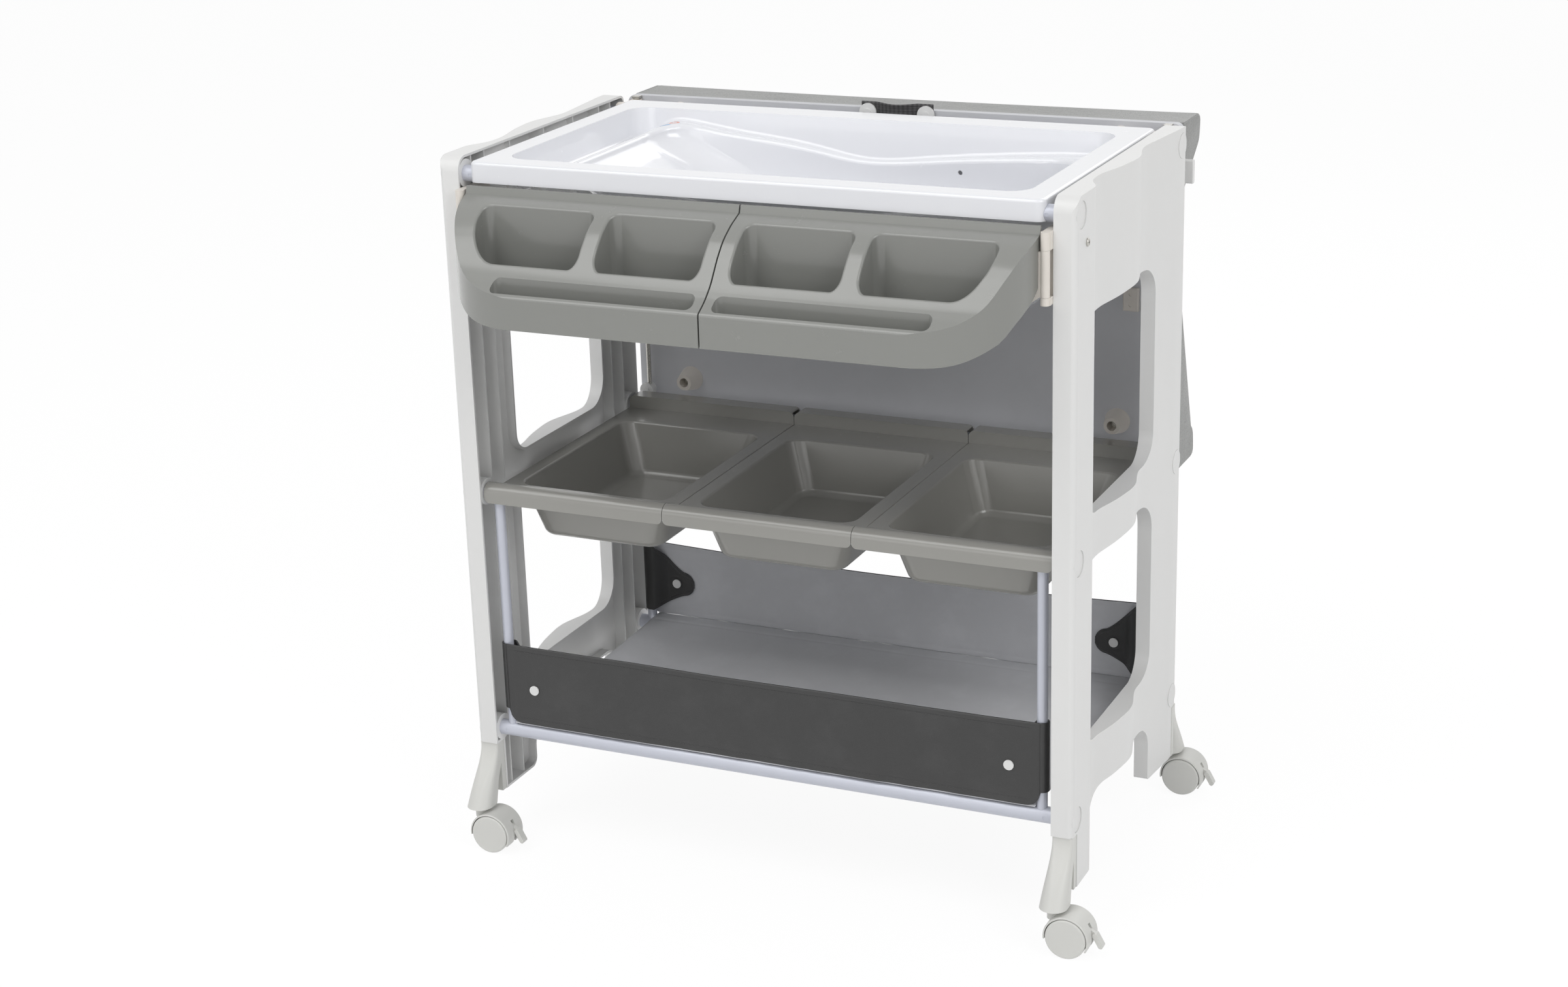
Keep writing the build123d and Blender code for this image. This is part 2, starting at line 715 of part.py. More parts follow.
def build_frame():
    """Panels, feet, tubes, uprights and their fasteners."""
    right = side_panel()
    save(right, "side_panel_right")
    save(mirrored(right, Plane.YZ), "side_panel_left")
    front_right = foot()
    rear_right = mirrored(front_right, Plane.XZ)
    save(front_right, "foot_front_right")
    save(mirrored(front_right, Plane.YZ), "foot_front_left")
    save(rear_right, "foot_rear_right")
    save(mirrored(rear_right, Plane.YZ), "foot_rear_left")
    for row, z in tube_rows:
        save(tube(-tube_y, z), "tube_front_" + row)
        save(tube(tube_y, z), "tube_rear_" + row)
    for side, x in (("left", -rod_x), ("right", rod_x)):
        save(upright(x, -tube_y), "upright_front_" + side)
        save(upright(x, tube_y), "upright_rear_" + side)
    plug_x = tube_end_x - SEAT_GAP - PLUG_LENGTH
    save(
        both_ends(
            TUBE_R - TUBE_WALL - SEAT_GAP / 2,
            BOLT_R + RUNNING_CLEARANCE,
            plug_x,
            PLUG_LENGTH,
        ),
        "tube_plugs",
    )
    save(panel_bolts(), "panel_bolts")
    cap_x = outer_x - CAP_RECESS + SEAT_GAP / 2
    save(both_ends(CAP_R, 0, cap_x, CAP_THICKNESS), "panel_caps")


def ledge_line(drop):
    """The undulating floor of the tub's step, from left to right, as points."""
    fall = STEP_FALL
    return [(share * STEP_WIDTH, TUB_RIM_Z - depth * fall - drop) for share, depth in LEDGE_SHARES]


def tub_step(grow):
    """The shallow upper basin, grown outwards and downwards by a wall."""
    with BuildPart() as step:
        with BuildSketch(Plane.XY.offset(TUB_RIM_Z)):
            with Locations((0, STEP_SHIFT_Y)):
                RectangleRounded(
                    STEP_WIDTH + 2 * grow, step_depth + 2 * grow, STEP_CORNER_R + grow
                )
        with BuildSketch(Plane.XY.offset(TUB_RIM_Z - STEP_FALL - grow - OVERRUN)):
            with Locations((0, STEP_SHIFT_Y)):
                RectangleRounded(
                    STEP_WIDTH + 2 * grow - 2 * STEP_DRAFT,
                    step_depth + 2 * grow - 2 * STEP_DRAFT,
                    STEP_CORNER_R + grow,
                )
        loft(ruled=True)
        line = ledge_line(grow)
        with BuildSketch(Plane.XZ.offset(-tub_rim_depth)):
            with BuildLine():
                Spline(*line)
                Polyline(
                    line[-1],
                    (STEP_WIDTH, line[-1][1]),
                    (STEP_WIDTH, TUB_RIM_Z),
                    (-STEP_WIDTH, TUB_RIM_Z),
                    (-STEP_WIDTH, line[0][1]),
                    line[0],
                )
            make_face()
        extrude(amount=2 * tub_rim_depth, mode=Mode.INTERSECT)
        highest_z = max(z for x, z in line) + STEP_FOOT_R / 2
        foot = [edge for edge in step.edges() if edge.bounding_box().max.Z < highest_z]
        fillet(foot, STEP_FOOT_R + grow)
    return step.part


def tub_well(grow):
    """The deep well with its sloping backrest, grown by a wall."""
    with BuildPart() as well:
        for rise, left, right, half, bulge in WELL_SECTION_SHARES:
            left_x = WELL_FLOOR_LEFT_X - left * BACKREST_RUN - grow
            right_x = WELL_FLOOR_RIGHT_X + right * FOOT_END_RUN + grow
            half_y = half * well_half_depth + grow
            end_y = half_y - bulge * WELL_BULGE
            middle_x = (left_x + right_x) / 2
            with BuildSketch(Plane.XY.offset(WELL_FLOOR_Z - grow + rise * WELL_RISE)) as level:
                with Locations((0, STEP_SHIFT_Y)):
                    with BuildLine():
                        ThreePointArc((left_x, end_y), (middle_x, half_y), (right_x, end_y))
                        Line((right_x, end_y), (right_x, -end_y))
                        ThreePointArc((right_x, -end_y), (middle_x, -half_y), (left_x, -end_y))
                        Line((left_x, -end_y), (left_x, end_y))
                    make_face()
                fillet(level.vertices(), WELL_CORNER_R * half)
        loft()
    return well.part


def rounded_plate(width, depth, corner_r, bottom_z, thickness, shift_y):
    """A flat plate with rounded corners."""
    with BuildPart() as plate:
        with BuildSketch(Plane.XY.offset(bottom_z)):
            with Locations((0, shift_y)):
                RectangleRounded(width, depth, corner_r)
        extrude(amount=thickness)
    return plate.part


def bathtub():
    """The tub: rim, hooked lips, step and well, with saddles that rest on the tubes."""
    mid_y = TUB_RIM_SHIFT_Y
    hollow_z = TUB_RIM_Z - TUB_WALL
    with BuildPart() as tub:
        add(
            rounded_plate(
                TUB_RIM_WIDTH, tub_rim_depth, TUB_CORNER_R,
                TUB_RIM_Z - TUB_LIP_DROP, TUB_LIP_DROP, mid_y,
            )
        )
        fillet(tub.faces().sort_by(Axis.Z)[-1].edges(), TUB_RIM_R)
        add(
            block(
                (TUB_WALL - TUB_RIM_WIDTH / 2, TUB_RIM_WIDTH / 2 - TUB_WALL),
                (
                    mid_y + TUB_WALL - tub_rim_depth / 2,
                    mid_y + tub_rim_depth / 2 - TUB_WALL,
                ),
                (TUB_RIM_Z - TUB_LIP_DROP - OVERRUN, hollow_z),
            ),
            mode=Mode.SUBTRACT,
        )
        for side in (-1, 1):
            ends = sorted((side * TUB_RIM_WIDTH / 2, side * (TUB_RIM_WIDTH / 2 - TUB_WALL)))
            add(
                block(
                    (ends[0] - OVERRUN, ends[1] + OVERRUN),
                    (TUBE_R + TUB_WALL - tube_y, tube_y - TUBE_R - TUB_WALL),
                    (TUB_RIM_Z - TUB_LIP_DROP - OVERRUN, TUB_RIM_Z - TUB_SIDE_LIP_DROP),
                ),
                mode=Mode.SUBTRACT,
            )
        for share in SADDLE_SHARES:
            x = share * TUB_RIM_WIDTH
            add(
                block(
                    (x - SADDLE_RIB / 2, x + SADDLE_RIB / 2),
                    (mid_y + TUB_WALL / 2 - tub_rim_depth / 2, TUBE_R + TUB_WALL - tube_y),
                    (TOP_TUBE_Z, hollow_z + TUB_WALL / 2),
                )
            )
            add(
                block(
                    (x - SADDLE_RIB / 2, x + SADDLE_RIB / 2),
                    (tube_y - TUBE_R - TUB_WALL, mid_y + tub_rim_depth / 2 - TUB_WALL / 2),
                    (TOP_TUBE_Z, hollow_z + TUB_WALL / 2),
                )
            )
        add(tub_step(TUB_WALL))
        add(tub_well(TUB_WALL))
        add(tub_step(0), mode=Mode.SUBTRACT)
        add(tub_well(0), mode=Mode.SUBTRACT)
        lowest_z = TUB_RIM_Z - STEP_FALL - TUB_WALL
        ledge = [edge for edge in tub.edges(Select.LAST) if edge.bounding_box().min.Z > lowest_z]
        fillet(ledge, LEDGE_R)
        with BuildSketch(Plane.YZ.offset(-TUB_RIM_WIDTH)):
            with Locations((-tube_y, TOP_TUBE_Z), (tube_y, TOP_TUBE_Z)):
                Circle(TUBE_R + SEAT_GAP)
        extrude(amount=2 * TUB_RIM_WIDTH, mode=Mode.SUBTRACT)
        with BuildSketch(Plane.XY.offset(WELL_FLOOR_Z - OVERRUN)):
            with Locations((DRAIN_X, STEP_SHIFT_Y)):
                Circle(DRAIN_R)
        extrude(amount=2 * OVERRUN, mode=Mode.SUBTRACT)
        with BuildSketch(Plane.XY.offset(WELL_FLOOR_Z - DRAIN_SEAT_DEPTH)):
            with Locations((DRAIN_X, STEP_SHIFT_Y)):
                Circle(DRAIN_SEAT_R)
        extrude(amount=DRAIN_SEAT_DEPTH + OVERRUN, mode=Mode.SUBTRACT)
        with BuildSketch(Plane.XZ.offset(-STEP_SHIFT_Y)):
            with Locations((OVERFLOW_X, OVERFLOW_Z)):
                Circle(OVERFLOW_R)
        extrude(amount=-tub_rim_depth / 2 + OVERRUN, mode=Mode.SUBTRACT)
    return tub.part


def drain_plug():
    """The plug that closes the drain, with a knob to pull it up by."""
    head_z = WELL_FLOOR_Z - DRAIN_SEAT_DEPTH + SEAT_GAP
    with BuildPart() as plug:
        with BuildSketch(Plane.XY.offset(WELL_FLOOR_Z - TUB_WALL)):
            with Locations((DRAIN_X, STEP_SHIFT_Y)):
                Circle(DRAIN_R - PLUG_STEM_CLEARANCE)
        extrude(amount=head_z - WELL_FLOOR_Z + TUB_WALL)
        with BuildSketch(Plane.XY.offset(head_z)):
            with Locations((DRAIN_X, STEP_SHIFT_Y)):
                Circle(PLUG_HEAD_R)
        extrude(amount=PLUG_HEAD_HEIGHT)
        fillet(plug.edges().group_by(Axis.Z)[-1], PLUG_HEAD_HEIGHT / 2)
        with BuildSketch(Plane.XY.offset(head_z + PLUG_HEAD_HEIGHT - SEAT_GAP)):
            with Locations((DRAIN_X, STEP_SHIFT_Y)):
                Circle(KNOB_R)
        extrude(amount=KNOB_HEIGHT)
        fillet(plug.edges().group_by(Axis.Z)[-1], KNOB_R / 2)
    return plug.part


def bowl(center_x, grow):
    """The tapered bowl of a storage tray, grown by a wall."""
    with BuildPart() as dish:
        for z, inset_x, inset_y in (
            (MIDDLE_TUBE_Z - BOWL_DEPTH - grow, BOWL_DRAFT_X, BOWL_DRAFT_Y),
            (MIDDLE_TUBE_Z, 0, 0),
        ):
            with BuildSketch(Plane.XY.offset(z)):
                with Locations((center_x, BOWL_SHIFT_Y)):
                    RectangleRounded(
                        2 * (BOWL_HALF_WIDTH - inset_x + grow),
                        2 * (BOWL_HALF_DEPTH - inset_y + grow),
                        BOWL_CORNER_R + grow,
                    )
        loft(ruled=True)
        fillet(dish.faces().sort_by(Axis.Z)[0].edges(), BOWL_FLOOR_R + grow)
    return dish.part


def storage_tray(center_x, width):
    """One storage tray: front roll, rear curb, flat rim and a tapered bowl."""
    rim_z = MIDDLE_TUBE_Z
    seat_r = TUBE_R + SOFT_GAP
    roll_r = seat_r + STORAGE_WALL
    curb_z = rim_z - STORAGE_CURB_DROP
    with BuildPart() as tray:
        with BuildSketch(Plane.YZ.offset(center_x - width / 2)):
            with Locations((-tube_y, rim_z)):
                Circle(roll_r)
            with Locations((-tube_y - roll_r / 2, rim_z - STORAGE_LIP_DROP / 2)):
                Rectangle(roll_r, STORAGE_LIP_DROP)
            with Locations((0, rim_z - STORAGE_WALL / 2)):
                Rectangle(2 * tube_y, STORAGE_WALL)
            with Locations((tube_y, (STORAGE_CURB_TOP_Z + curb_z) / 2)):
                Rectangle(2 * roll_r, STORAGE_CURB_TOP_Z - curb_z)
        extrude(amount=width)
        fillet(
            tray.edges().filter_by(Axis.Y).group_by(Axis.Z)[-1],
            STORAGE_CURB_CORNER_R,
        )
        with BuildSketch(Plane.YZ.offset(center_x - width)):
            with Locations((-tube_y, rim_z)):
                Circle(seat_r)
            with Locations(((roll_r - seat_r) / 2 - tube_y, rim_z - STORAGE_WALL - TUBE_R)):
                Rectangle(seat_r + roll_r, 2 * TUBE_R)
            with Locations((tube_y, (STORAGE_CURB_TOP_Z - STORAGE_WALL + curb_z - OVERRUN) / 2)):
                Rectangle(2 * seat_r, STORAGE_CURB_TOP_Z - STORAGE_WALL - curb_z + OVERRUN)
        extrude(amount=2 * width, mode=Mode.SUBTRACT)
        fillet(tray.edges().filter_by(Axis.Y).group_by(Axis.Z)[0], STORAGE_LIP_CORNER_R)
        for share in (-STORAGE_CURB_RIB_SHARE, STORAGE_CURB_RIB_SHARE):
            x = center_x + share * width
            add(
                block(
                    (x - STORAGE_WALL / 2, x + STORAGE_WALL / 2),
                    (tube_y - seat_r - STORAGE_WALL / 2, tube_y + seat_r + STORAGE_WALL / 2),
                    (rim_z + TUBE_R + SEAT_GAP, STORAGE_CURB_TOP_Z - STORAGE_WALL / 2),
                )
            )
        add(bowl(center_x, STORAGE_WALL))
        add(bowl(center_x, 0), mode=Mode.SUBTRACT)
        rim = (
            tray.edges()
            .filter_by_position(Axis.Z, rim_z, rim_z)
            .filter_by_position(Axis.Y, BOWL_SHIFT_Y - BOWL_HALF_DEPTH, BOWL_SHIFT_Y + BOWL_HALF_DEPTH)
            .filter_by_position(Axis.X, center_x - BOWL_HALF_WIDTH, center_x + BOWL_HALF_WIDTH)
        )
        fillet(rim, BOWL_RIM_R)
        sides = [
            edge
            for edge in tray.edges().filter_by(Axis.Y)
            if abs(edge.center().X - center_x) > width / 2 - OVERRUN
            and edge.center().Z > rim_z - STORAGE_WALL / 2
            and edge.length > width / 2
        ]
        fillet(sides, STORAGE_SIDE_R)
    return tray.part


def build_tub_and_trays():
    """The bathtub with its plug, and the row of storage trays."""
    save(bathtub(), "bathtub")
    save(drain_plug(), "drain_plug")
    pitch = 2 * (inner_x - STORAGE_SIDE_GAP) / STORAGE_COUNT
    for step, side in enumerate(("left", "middle", "right")):
        center_x = (step - (STORAGE_COUNT - 1) / 2) * pitch
        save(storage_tray(center_x, pitch - STORAGE_JOINT), "storage_tray_" + side)


def tray_profile(wall):
    """Side view of a toiletry tray's outside, or of the space a wall inside it."""
    shift = TRAY_INSET_SHARE * wall
    back_y = front_y - TRAY_BACK_GAP - wall
    face_y = front_y - TRAY_FRONT_REACH + wall
    crest_z = TRAY_CREST_Z - shift
    fall = TRAY_CREST_Z - TRAY_FACE_TOP_Z
    top = [
        (front_y - share * TRAY_FRONT_REACH + shift, crest_z - drop * fall)
        for share, drop in TRAY_TOP_SHARES
    ]
    brow = [(back_y, TRAY_TOP_Z), (front_y - TRAY_BROW_DEPTH, TRAY_TOP_Z)]
    if wall > 0:
        brow = [(back_y, crest_z)]
    with BuildSketch() as profile:
        with BuildLine():
            Polyline(
                (back_y, TRAY_SKIRT_Z - OVERRUN),
                *brow,
                (front_y - TRAY_BROW_RUN + shift, crest_z),
                *top,
                (face_y, TRAY_FACE_TOP_Z - shift),
                (face_y, TRAY_SKIRT_Z - OVERRUN),
                close=True,
            )
        make_face()
        for y, z in top:
            fillet(vertex_near(profile, y, z), TRAY_TOP_R)
        fillet(vertex_near(profile, face_y, TRAY_FACE_TOP_Z - shift), TRAY_FACE_R - wall)
    return profile.sketch


def tray_plan(wall):
    """Plan of the right toiletry tray: square inner end, wide round outer corner."""
    back_y = front_y - TRAY_BACK_GAP - wall
    face_y = front_y - TRAY_FRONT_REACH + wall
    with BuildSketch() as plan:
        with BuildLine():
            Polyline(
                (TRAY_GAP / 2 + wall, back_y),
                (TRAY_GAP / 2 + wall, face_y),
                (TRAY_OUTER_X - wall, face_y),
                (TRAY_OUTER_X - wall, back_y),
                close=True,
            )
        make_face()
        fillet(vertex_near(plan, TRAY_OUTER_X - wall, face_y), TRAY_CORNER_R - wall)
    return plan.sketch


def tray_mass(wall):
    """The tray's outer form, or the space inside its shell."""
    with BuildPart() as mass:
        with BuildSketch(Plane.YZ):
            add(tray_profile(wall))
        extrude(amount=TRAY_OUTER_X + OVERRUN)
        with BuildSketch(Plane.XY.offset(TRAY_SKIRT_Z - 2 * OVERRUN)):
            add(tray_plan(wall))
        extrude(amount=TRAY_TOP_Z, mode=Mode.INTERSECT)
    return mass.part


def pocket_plan(x_range, sweep_r, grow):
    """Plan of one pocket; its outer front corner may be a wide sweep."""
    back_y = front_y - POCKET_BACK_Y
    near_y = front_y - POCKET_FRONT_Y
    with BuildSketch() as plan:
        with BuildLine():
            Polyline(
                (x_range[0], back_y),
                (x_range[1], back_y),
                (x_range[1], near_y),
                (x_range[0], near_y),
                close=True,
            )
        make_face()
        fillet(vertex_near(plan, x_range[1], near_y), sweep_r)
        fillet(vertex_near(plan, x_range[1], back_y), POCKET_R)
        fillet(vertex_near(plan, x_range[0], back_y), POCKET_R)
        fillet(vertex_near(plan, x_range[0], near_y), POCKET_R)
        if grow != 0:
            offset(amount=grow, mode=Mode.REPLACE)
    return plan.sketch


def slot_plan(grow):
    """Plan of the long slot behind the tray's front rail."""
    back_y = front_y - SLOT_BACK_Y
    near_y = front_y - SLOT_FRONT_Y
    with BuildSketch() as plan:
        with Locations((sum(SLOT_X) / 2, (back_y + near_y) / 2)):
            RectangleRounded(
                SLOT_X[1] - SLOT_X[0] + 2 * grow, back_y - near_y + 2 * grow, SLOT_R + grow
            )
    return plan.sketch


def pocket(x_range, sweep_r, grow, floor_z):
    """One pocket as a solid that widens upwards, grown by a wall."""
    with BuildPart() as cup:
        with BuildSketch(Plane.XY.offset(floor_z)):
            add(pocket_plan(x_range, sweep_r, grow - POCKET_TAPER))
        with BuildSketch(Plane.XY.offset(TRAY_TOP_Z)):
            add(pocket_plan(x_range, sweep_r, grow))
        loft(ruled=True)
    return cup.part


def pocket_pair(grow, floor_z):
    """Both pockets of the right tray."""
    with BuildPart() as pair:
        add(pocket(POCKET_INNER_X, POCKET_R, grow, floor_z))
        add(pocket(POCKET_OUTER_X, POCKET_SWEEP_R, grow, floor_z))
    return pair.part


def toiletry_tray():
    """The right toiletry tray: a shell open below, two pockets and a slot behind its front rail."""
    run = TRAY_FRONT_REACH
    face_y = front_y - run
    skirt = [
        (front_y - share * run, TRAY_SKIRT_Z + rise * TRAY_SKIRT_RISE)
        for share, rise in TRAY_SKIRT_SHARES
    ]
    with BuildPart() as collar:
        with BuildSketch(Plane.XY.offset(SLOT_COLLAR_Z)):
            add(slot_plan(TRAY_WALL))
        extrude(amount=TRAY_TOP_Z - SLOT_COLLAR_Z)
        add(pocket_pair(TRAY_WALL, POCKET_FLOOR_Z - TRAY_WALL))
        for x in GUSSET_RIB_X:
            add(
                block(
                    (x, x + TRAY_WALL),
                    (front_y - POCKET_BACK_Y, front_y - TRAY_BACK_GAP),
                    (GUSSET_RIB_Z, TRAY_TOP_Z),
                )
            )
        add(tray_mass(0), mode=Mode.INTERSECT)
    with BuildPart() as tray:
        add(tray_mass(0))
        add(tray_mass(TRAY_WALL), mode=Mode.SUBTRACT)
        with BuildSketch(Plane.YZ):
            with BuildLine():
                Polyline(
                    (front_y, TRAY_SKIRT_Z + TRAY_SKIRT_RISE),
                    (front_y, TRAY_SKIRT_Z - 2 * OVERRUN),
                    (face_y - OVERRUN, TRAY_SKIRT_Z - 2 * OVERRUN),
                    (face_y - OVERRUN, TRAY_SKIRT_Z),
                    (face_y, TRAY_SKIRT_Z),
                )
                Spline((face_y, TRAY_SKIRT_Z), *skirt, (front_y, TRAY_SKIRT_Z + TRAY_SKIRT_RISE))
            make_face()
        extrude(amount=TRAY_OUTER_X + OVERRUN, mode=Mode.SUBTRACT)
        add(collar.part)
        add(pocket_pair(0, POCKET_FLOOR_Z), mode=Mode.SUBTRACT)
        with BuildSketch(Plane.XY.offset(TRAY_SKIRT_Z - OVERRUN)):
            add(slot_plan(0))
        extrude(amount=TRAY_TOP_Z - TRAY_SKIRT_Z, mode=Mode.SUBTRACT)
        half = GUSSET_THICKNESS / 2 + SEAT_GAP
        add(
            block(
                (HINGE_PIN_X - GUSSET_LENGTH - OVERRUN, HINGE_PIN_X),
                (pin_y - half, pin_y + half),
                (TRAY_SKIRT_Z, KNUCKLE_TOP_Z - GUSSET_TOP_DROP + SEAT_GAP),
            ),
            mode=Mode.SUBTRACT,
        )
        rims = []
        for x_range in (POCKET_INNER_X, POCKET_OUTER_X):
            rims += pocket_rim(tray.part, x_range)
        fillet(rims, POCKET_RIM_R)
    return tray.part


def pocket_rim(tray, x_range):
    """The edges where one pocket of a tray opens through its deck."""
    low_y = front_y - POCKET_FRONT_Y - POCKET_RIM_R
    high_y = front_y - POCKET_BACK_Y + POCKET_RIM_R
    rim = []
    for edge in tray.edges():
        spots = (edge @ 0, edge.center(), edge @ 1)
        if all(
            x_range[0] - POCKET_RIM_R <= spot.X <= x_range[1] + POCKET_RIM_R
            and low_y <= spot.Y <= high_y
            and spot.Z > POCKET_FLOOR_Z + POCKET_RIM_RISE
            for spot in spots
        ):
            rim.append(edge)
    return rim


def tray_arm():
    """The right tray's arm: a knuckle on the pin and a gusset that runs under the tray."""
    top_z = KNUCKLE_TOP_Z - GUSSET_TOP_DROP
    bottom_z = KNUCKLE_BOTTOM_Z + SEAT_GAP
    root_x = HINGE_PIN_X - KNUCKLE_R / 2
    with BuildPart() as arm:
        with BuildSketch(Plane.XY.offset(bottom_z)):
            with Locations((HINGE_PIN_X, pin_y)):
                Circle(KNUCKLE_R)
        extrude(amount=KNUCKLE_TOP_Z - SEAT_GAP - bottom_z)
        with BuildSketch(Plane.XZ.offset(-pin_y - GUSSET_THICKNESS / 2)):
            with BuildLine():
                Polyline(
                    (root_x, top_z),
                    (root_x, bottom_z),
                    (HINGE_PIN_X - KNUCKLE_R - SEAT_GAP, bottom_z),
                    (root_x - GUSSET_NOTCH, bottom_z - GUSSET_DROP),
                    (root_x - GUSSET_LENGTH, bottom_z - GUSSET_END_DROP),
                    (root_x - GUSSET_LENGTH, top_z),
                    close=True,
                )
            make_face()
        extrude(amount=GUSSET_THICKNESS)
        with BuildSketch(Plane.XY.offset(bottom_z - OVERRUN)):
            with Locations((HINGE_PIN_X, pin_y)):
                Circle(HINGE_PIN_R + RUNNING_CLEARANCE)
        extrude(amount=KNUCKLE_TOP_Z - KNUCKLE_BOTTOM_Z + 2 * OVERRUN, mode=Mode.SUBTRACT)
    return arm.part


def tray_bracket():
    """The fixed bracket on the right leg: two lugs around the arm's knuckle and a screwed plate."""
    near_x = inner_x - SEAT_GAP - BRACKET_THICKNESS
    far_x = inner_x - SEAT_GAP
    low_z = KNUCKLE_BOTTOM_Z - LUG_THICKNESS
    top_z = KNUCKLE_TOP_Z + UPPER_LUG_THICKNESS
    with BuildPart() as bracket:
        with BuildSketch(Plane.YZ.offset(near_x)):
            with BuildLine():
                Polyline(
                    (front_y + BRACKET_FRONT, low_z),
                    (front_y + BRACKET_ROOT, low_z),
                    (front_y + 2 * BRACKET_ROOT, BRACKET_SOLE_Z),
                    (front_y + BRACKET_REACH, BRACKET_SOLE_Z),
                    (front_y + BRACKET_REACH, top_z),
                    (front_y + BRACKET_FRONT, top_z),
                    close=True,
                )
            make_face()
        extrude(amount=BRACKET_THICKNESS)
        for bottom_z, height in ((low_z, LUG_THICKNESS), (KNUCKLE_TOP_Z, UPPER_LUG_THICKNESS)):
            with BuildSketch(Plane.XY.offset(bottom_z)):
                with Locations((HINGE_PIN_X, pin_y)):
                    Circle(KNUCKLE_R)
            extrude(amount=height)
            add(block((near_x, far_x), (pin_y, front_y + BRACKET_ROOT), (bottom_z, bottom_z + height)))
        with BuildSketch(Plane.XY.offset(low_z - OVERRUN)):
            with Locations((HINGE_PIN_X, pin_y)):
                Circle(HINGE_PIN_R + RUNNING_CLEARANCE)
        extrude(amount=pin_top_z + SEAT_GAP - low_z + OVERRUN, mode=Mode.SUBTRACT)
        with BuildSketch(Plane.YZ.offset(near_x - OVERRUN)):
            with Locations((front_y + SCREW_INSET, SCREW_Z)):
                Circle(SCREW_R + RUNNING_CLEARANCE)
        extrude(amount=BRACKET_THICKNESS + 2 * OVERRUN, mode=Mode.SUBTRACT)
    return bracket.part


def tray_pins():
    """The two pins that the toiletry trays swing about."""
    low_z = KNUCKLE_BOTTOM_Z - LUG_THICKNESS
    with BuildPart() as pins:
        with BuildSketch(Plane.XY.offset(low_z)):
            with Locations((HINGE_PIN_X, pin_y), (-HINGE_PIN_X, pin_y)):
                Circle(HINGE_PIN_R)
        extrude(amount=pin_top_z - low_z)
    return pins.part


def bracket_screws():
    """The screws through the panels that hold the tray brackets."""
    with BuildPart() as screws:
        with BuildSketch(Plane.YZ.offset(outer_x)):
            with Locations((front_y + SCREW_INSET, SCREW_Z)):
                Circle(SCREW_HEAD_R)
        extrude(amount=SCREW_HEAD_HEIGHT)
        fillet(screws.edges().sort_by(Axis.X)[-1], SCREW_HEAD_HEIGHT / 2)
        with BuildSketch(Plane.YZ.offset(outer_x + SCREW_HEAD_HEIGHT / 2)):
            with Locations((front_y + SCREW_INSET, SCREW_Z)):
                Rectangle(SCREW_HEAD_R, SCREW_SLOT_WIDTH)
                Rectangle(SCREW_SLOT_WIDTH, SCREW_HEAD_R)
        extrude(amount=SCREW_HEAD_HEIGHT, mode=Mode.SUBTRACT)
        shank_x = inner_x - SEAT_GAP - BRACKET_THICKNESS
        with BuildSketch(Plane.YZ.offset(shank_x)):
            with Locations((front_y + SCREW_INSET, SCREW_Z)):
                Circle(SCREW_R)
        extrude(amount=outer_x - shank_x)
        mirror(about=Plane.YZ)
    return screws.part


def build_toiletry_trays():
    """The pair of toiletry trays with their arms, brackets, pins and screws."""
    for name, piece in (
        ("toiletry_tray_", toiletry_tray()),
        ("tray_arm_", tray_arm()),
        ("tray_bracket_", tray_bracket()),
    ):
        save(piece, name + "right")
        save(mirrored(piece, Plane.YZ), name + "left")
    save(tray_pins(), "tray_pins")
    save(bracket_screws(), "bracket_screws")


def shelf_panel(rear):
    """The front panel of the shelf, or with rear set the back one with its sagging top edge."""
    outside_y = tube_y + ROD_R + SOFT_GAP + CLOTH
    side = 1 if rear else -1
    dip = SHELF_REAR_DIP if rear else 0
    with BuildPart() as panel:
        with BuildSketch(Plane.XZ.offset(-side * (outside_y - CLOTH))):
            with BuildLine():
                Polyline(
                    (-rod_x, SHELF_PANEL_TOP_Z),
                    (-rod_x, SHELF_PANEL_BOTTOM_Z),
                    (rod_x, SHELF_PANEL_BOTTOM_Z),
                    (rod_x, SHELF_PANEL_TOP_Z),
                )
                if rear:
                    ThreePointArc(
                        (rod_x, SHELF_PANEL_TOP_Z),
                        (0, SHELF_PANEL_TOP_Z - dip),
                        (-rod_x, SHELF_PANEL_TOP_Z),
                    )
                else:
                    Line((rod_x, SHELF_PANEL_TOP_Z), (-rod_x, SHELF_PANEL_TOP_Z))
            make_face()
        extrude(amount=-side * CLOTH)
        corner_r = SHELF_REAR_R if rear else SHELF_PANEL_R
        fillet(panel.edges().filter_by(Axis.Y).group_by(Axis.Z)[0], corner_r)
        if not rear:
            add(
                block(
                    (-rod_x, rod_x),
                    (-outside_y - SHELF_HEM_THICKNESS, -outside_y),
                    (SHELF_PANEL_TOP_Z - SHELF_HEM, SHELF_PANEL_TOP_Z),
                )
            )
    return panel.part


